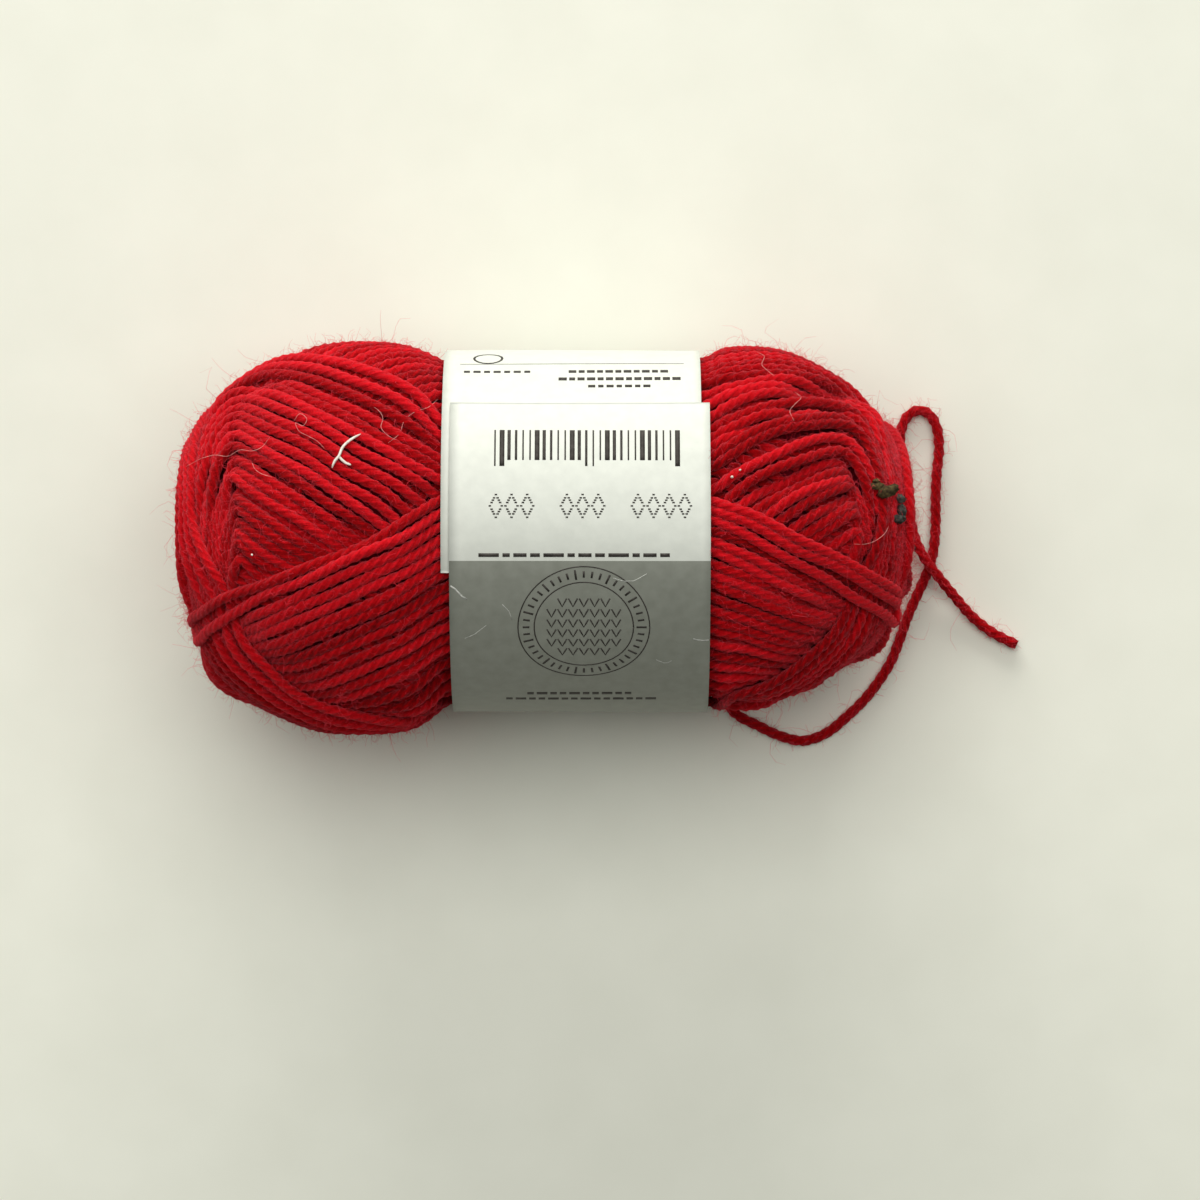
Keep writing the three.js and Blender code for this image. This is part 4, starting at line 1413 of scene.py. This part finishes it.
def round_tube(path, radius, sides):
    """Corners and faces of a plain round thread with tapered ends."""
    forward = unit(np.gradient(path, axis=0))
    across = unit(np.cross(forward, [0.0, 0.0, 1.0]))
    upward = np.cross(across, forward)
    reach = radius * (1 - THREAD_TAPER * np.abs(np.linspace(-1, 1, len(path))) ** 6)
    angle = (np.arange(sides) / sides * 2 * math.pi)[None, :, None]
    ring = np.cos(angle) * across[:, None] + np.sin(angle) * upward[:, None]
    points = (path[:, None] + reach[:, None, None] * ring).reshape(-1, 3)
    return points, ring_quads(len(path), sides, flipped=True)


def crumb(centre, size, draw):
    """Corners and faces of a small rough bit: rings of uneven reach, closed at both ends."""
    around = np.arange(CRUMB_SIDES) / CRUMB_SIDES * 2 * math.pi
    up = np.linspace(-CRUMB_SPAN, CRUMB_SPAN, CRUMB_RINGS)
    reach = np.sqrt(1 - up ** 2)[:, None] * draw.uniform(*CRUMB_REACH, (CRUMB_RINGS, CRUMB_SIDES))
    upward = np.repeat(up[:, None], CRUMB_SIDES, axis=1)
    points = np.stack([reach * np.cos(around), reach * np.sin(around), upward], axis=-1)
    points = np.asarray(centre) + points.reshape(-1, 3) * np.asarray(size) / 2
    last = (CRUMB_RINGS - 1) * CRUMB_SIDES
    caps = []
    for k in range(1, CRUMB_SIDES - 2, 2):
        caps.append([0, k + 2, k + 1, k])
        caps.append([last, last + k, last + k + 1, last + k + 2])
    return points, np.vstack([ring_quads(CRUMB_RINGS, CRUMB_SIDES), caps])


def crumbs_on(bits, tops, draw):
    """Crumbs that lie on the yarn where a pixel of the photograph shows them."""
    shapes = []
    for side, (across, down), size in bits:
        place = thread_on(side, ((across, down), (across + 1, down)), tops)[0]
        shapes.append(crumb(place, size, draw))
    return shapes


def add_bits(name, shapes, dark, light):
    """One piece of several small shapes, in a tone between two colours."""
    mesh = mesh_of_quads(name, *joined(shapes))
    finish_object(name, mesh, bit_shader(name, dark, light))


def make_bits(strands):
    """Lint, hairs, bits of plants and dark crumbs on the skein and its tail."""
    draw = np.random.default_rng(BITS_SEED)
    tops = yarn_tops(strands)
    lint = [round_tube(thread_on(LEFT, path, tops), LINT_RADIUS, LINT_SIDES) for path in WHITE_LINT]
    lint += crumbs_on(WHITE_SPECKS, tops, draw)
    hairs = []
    for side, paths in ((LEFT, PALE_HAIRS_LEFT), (RIGHT, PALE_HAIRS_RIGHT)):
        hairs += [round_tube(thread_on(side, path, tops), HAIR_RADIUS, HAIR_SIDES) for path in paths]
    plant = crumbs_on(PLANT_BITS, tops, draw)
    dark = crumbs_on(DARK_BITS, tops, draw)
    dark += [crumb(place, TAIL_BIT_SIZE, draw) for place in TAIL_BITS]
    add_bits("white_lint", lint, (0.62, 0.58, 0.50), (0.85, 0.82, 0.74))
    add_bits("pale_hairs", hairs, (0.60, 0.16, 0.16), (0.82, 0.42, 0.38))
    add_bits("plant_bits", plant, (0.030, 0.020, 0.010), (0.105, 0.075, 0.030))
    add_bits("dark_bits", dark, (0.016, 0.014, 0.012), (0.085, 0.080, 0.070))


def bit_shader(name, dark, light):
    """Rough matt stuff with a mottled tone between two colours."""
    return mottled_shader(name, (dark, light), 1800, 4.0, stops=(0.35, 0.65), relief=(0.6, 0.0002),
                          Roughness=0.9, Specular_IOR_Level=0.1)


def make_camera():
    """The camera looks straight down."""
    camera_data = bpy.data.cameras.new("camera")
    camera_data.sensor_width = SENSOR_WIDTH
    camera_data.lens = FOCAL_LENGTH
    camera = bpy.data.objects.new("camera", camera_data)
    camera.location = CAMERA_PLACE
    bpy.context.scene.collection.objects.link(camera)
    bpy.context.scene.camera = camera


FLOOR_REACH = 1.5


def make_floor():
    """A plain pale floor."""
    material = mottled_shader("floor", ((0.80, 0.80, 0.70), (0.83, 0.83, 0.73)), 60, 4.0,
                              Roughness=0.75, Specular_IOR_Level=0.2)
    mesh = bpy.data.meshes.new("floor")
    sides = ((-1, -1), (1, -1), (1, 1), (-1, 1))
    corners = [(x * FLOOR_REACH, y * FLOOR_REACH, 0) for x, y in sides]
    mesh.from_pydata(corners, [], [(0, 1, 2, 3)])
    floor = bpy.data.objects.new("floor", mesh)
    floor.data.materials.append(material)
    bpy.context.scene.collection.objects.link(floor)


def area_light(name, place, target, size, power, colour):
    data = bpy.data.lights.new(name, "AREA")
    data.shape = "RECTANGLE"
    data.size, data.size_y = size
    data.energy = power
    data.color = colour
    light = bpy.data.objects.new(name, data)
    light.location = place
    aim = np.array(target) - np.array(place)
    flat = math.hypot(aim[0], aim[1])
    light.rotation_euler = (math.atan2(flat, -aim[2]), 0, math.atan2(aim[1], aim[0]) - math.pi / 2)
    bpy.context.scene.collection.objects.link(light)


def make_lights():
    """A window behind the skein, a broad light above it, and a dim room around both."""
    area_light("window", place=(-0.12, 1.20, 0.38), target=(0, 0, 0.03), size=(1.1, 0.4),
               power=15.5, colour=(1.0, 0.985, 0.95))
    area_light("ceiling", place=(-0.05, 0.32, 1.15), target=(0, 0, 0), size=(1.9, 1.0),
               power=15.5, colour=(0.985, 1.0, 0.97))
    world = bpy.data.worlds.new("room")
    world.use_nodes = True
    background = world.node_tree.nodes["Background"]
    background.inputs["Color"].default_value = (0.93, 0.95, 0.90, 1)
    background.inputs["Strength"].default_value = 0.06
    bpy.context.scene.world = world
    bpy.context.scene.view_settings.view_transform = "Standard"


make_camera()
wool = wool_shader()
tail_path = make_tail(wool)
winding, strands = wind()
make_windings(strands, wool)
make_core(winding, core_shader())
make_fibres(strands, tail_path, fuzz_shader())
make_band(paper_shader())
make_lines("band_print", print_lines(), ink_shader())
make_lines("band_creases", SCUFFS, bit_shader("cracked_coat", (0.40, 0.40, 0.37), (0.62, 0.63, 0.58)))
make_bits(strands)
make_floor()
make_lights()
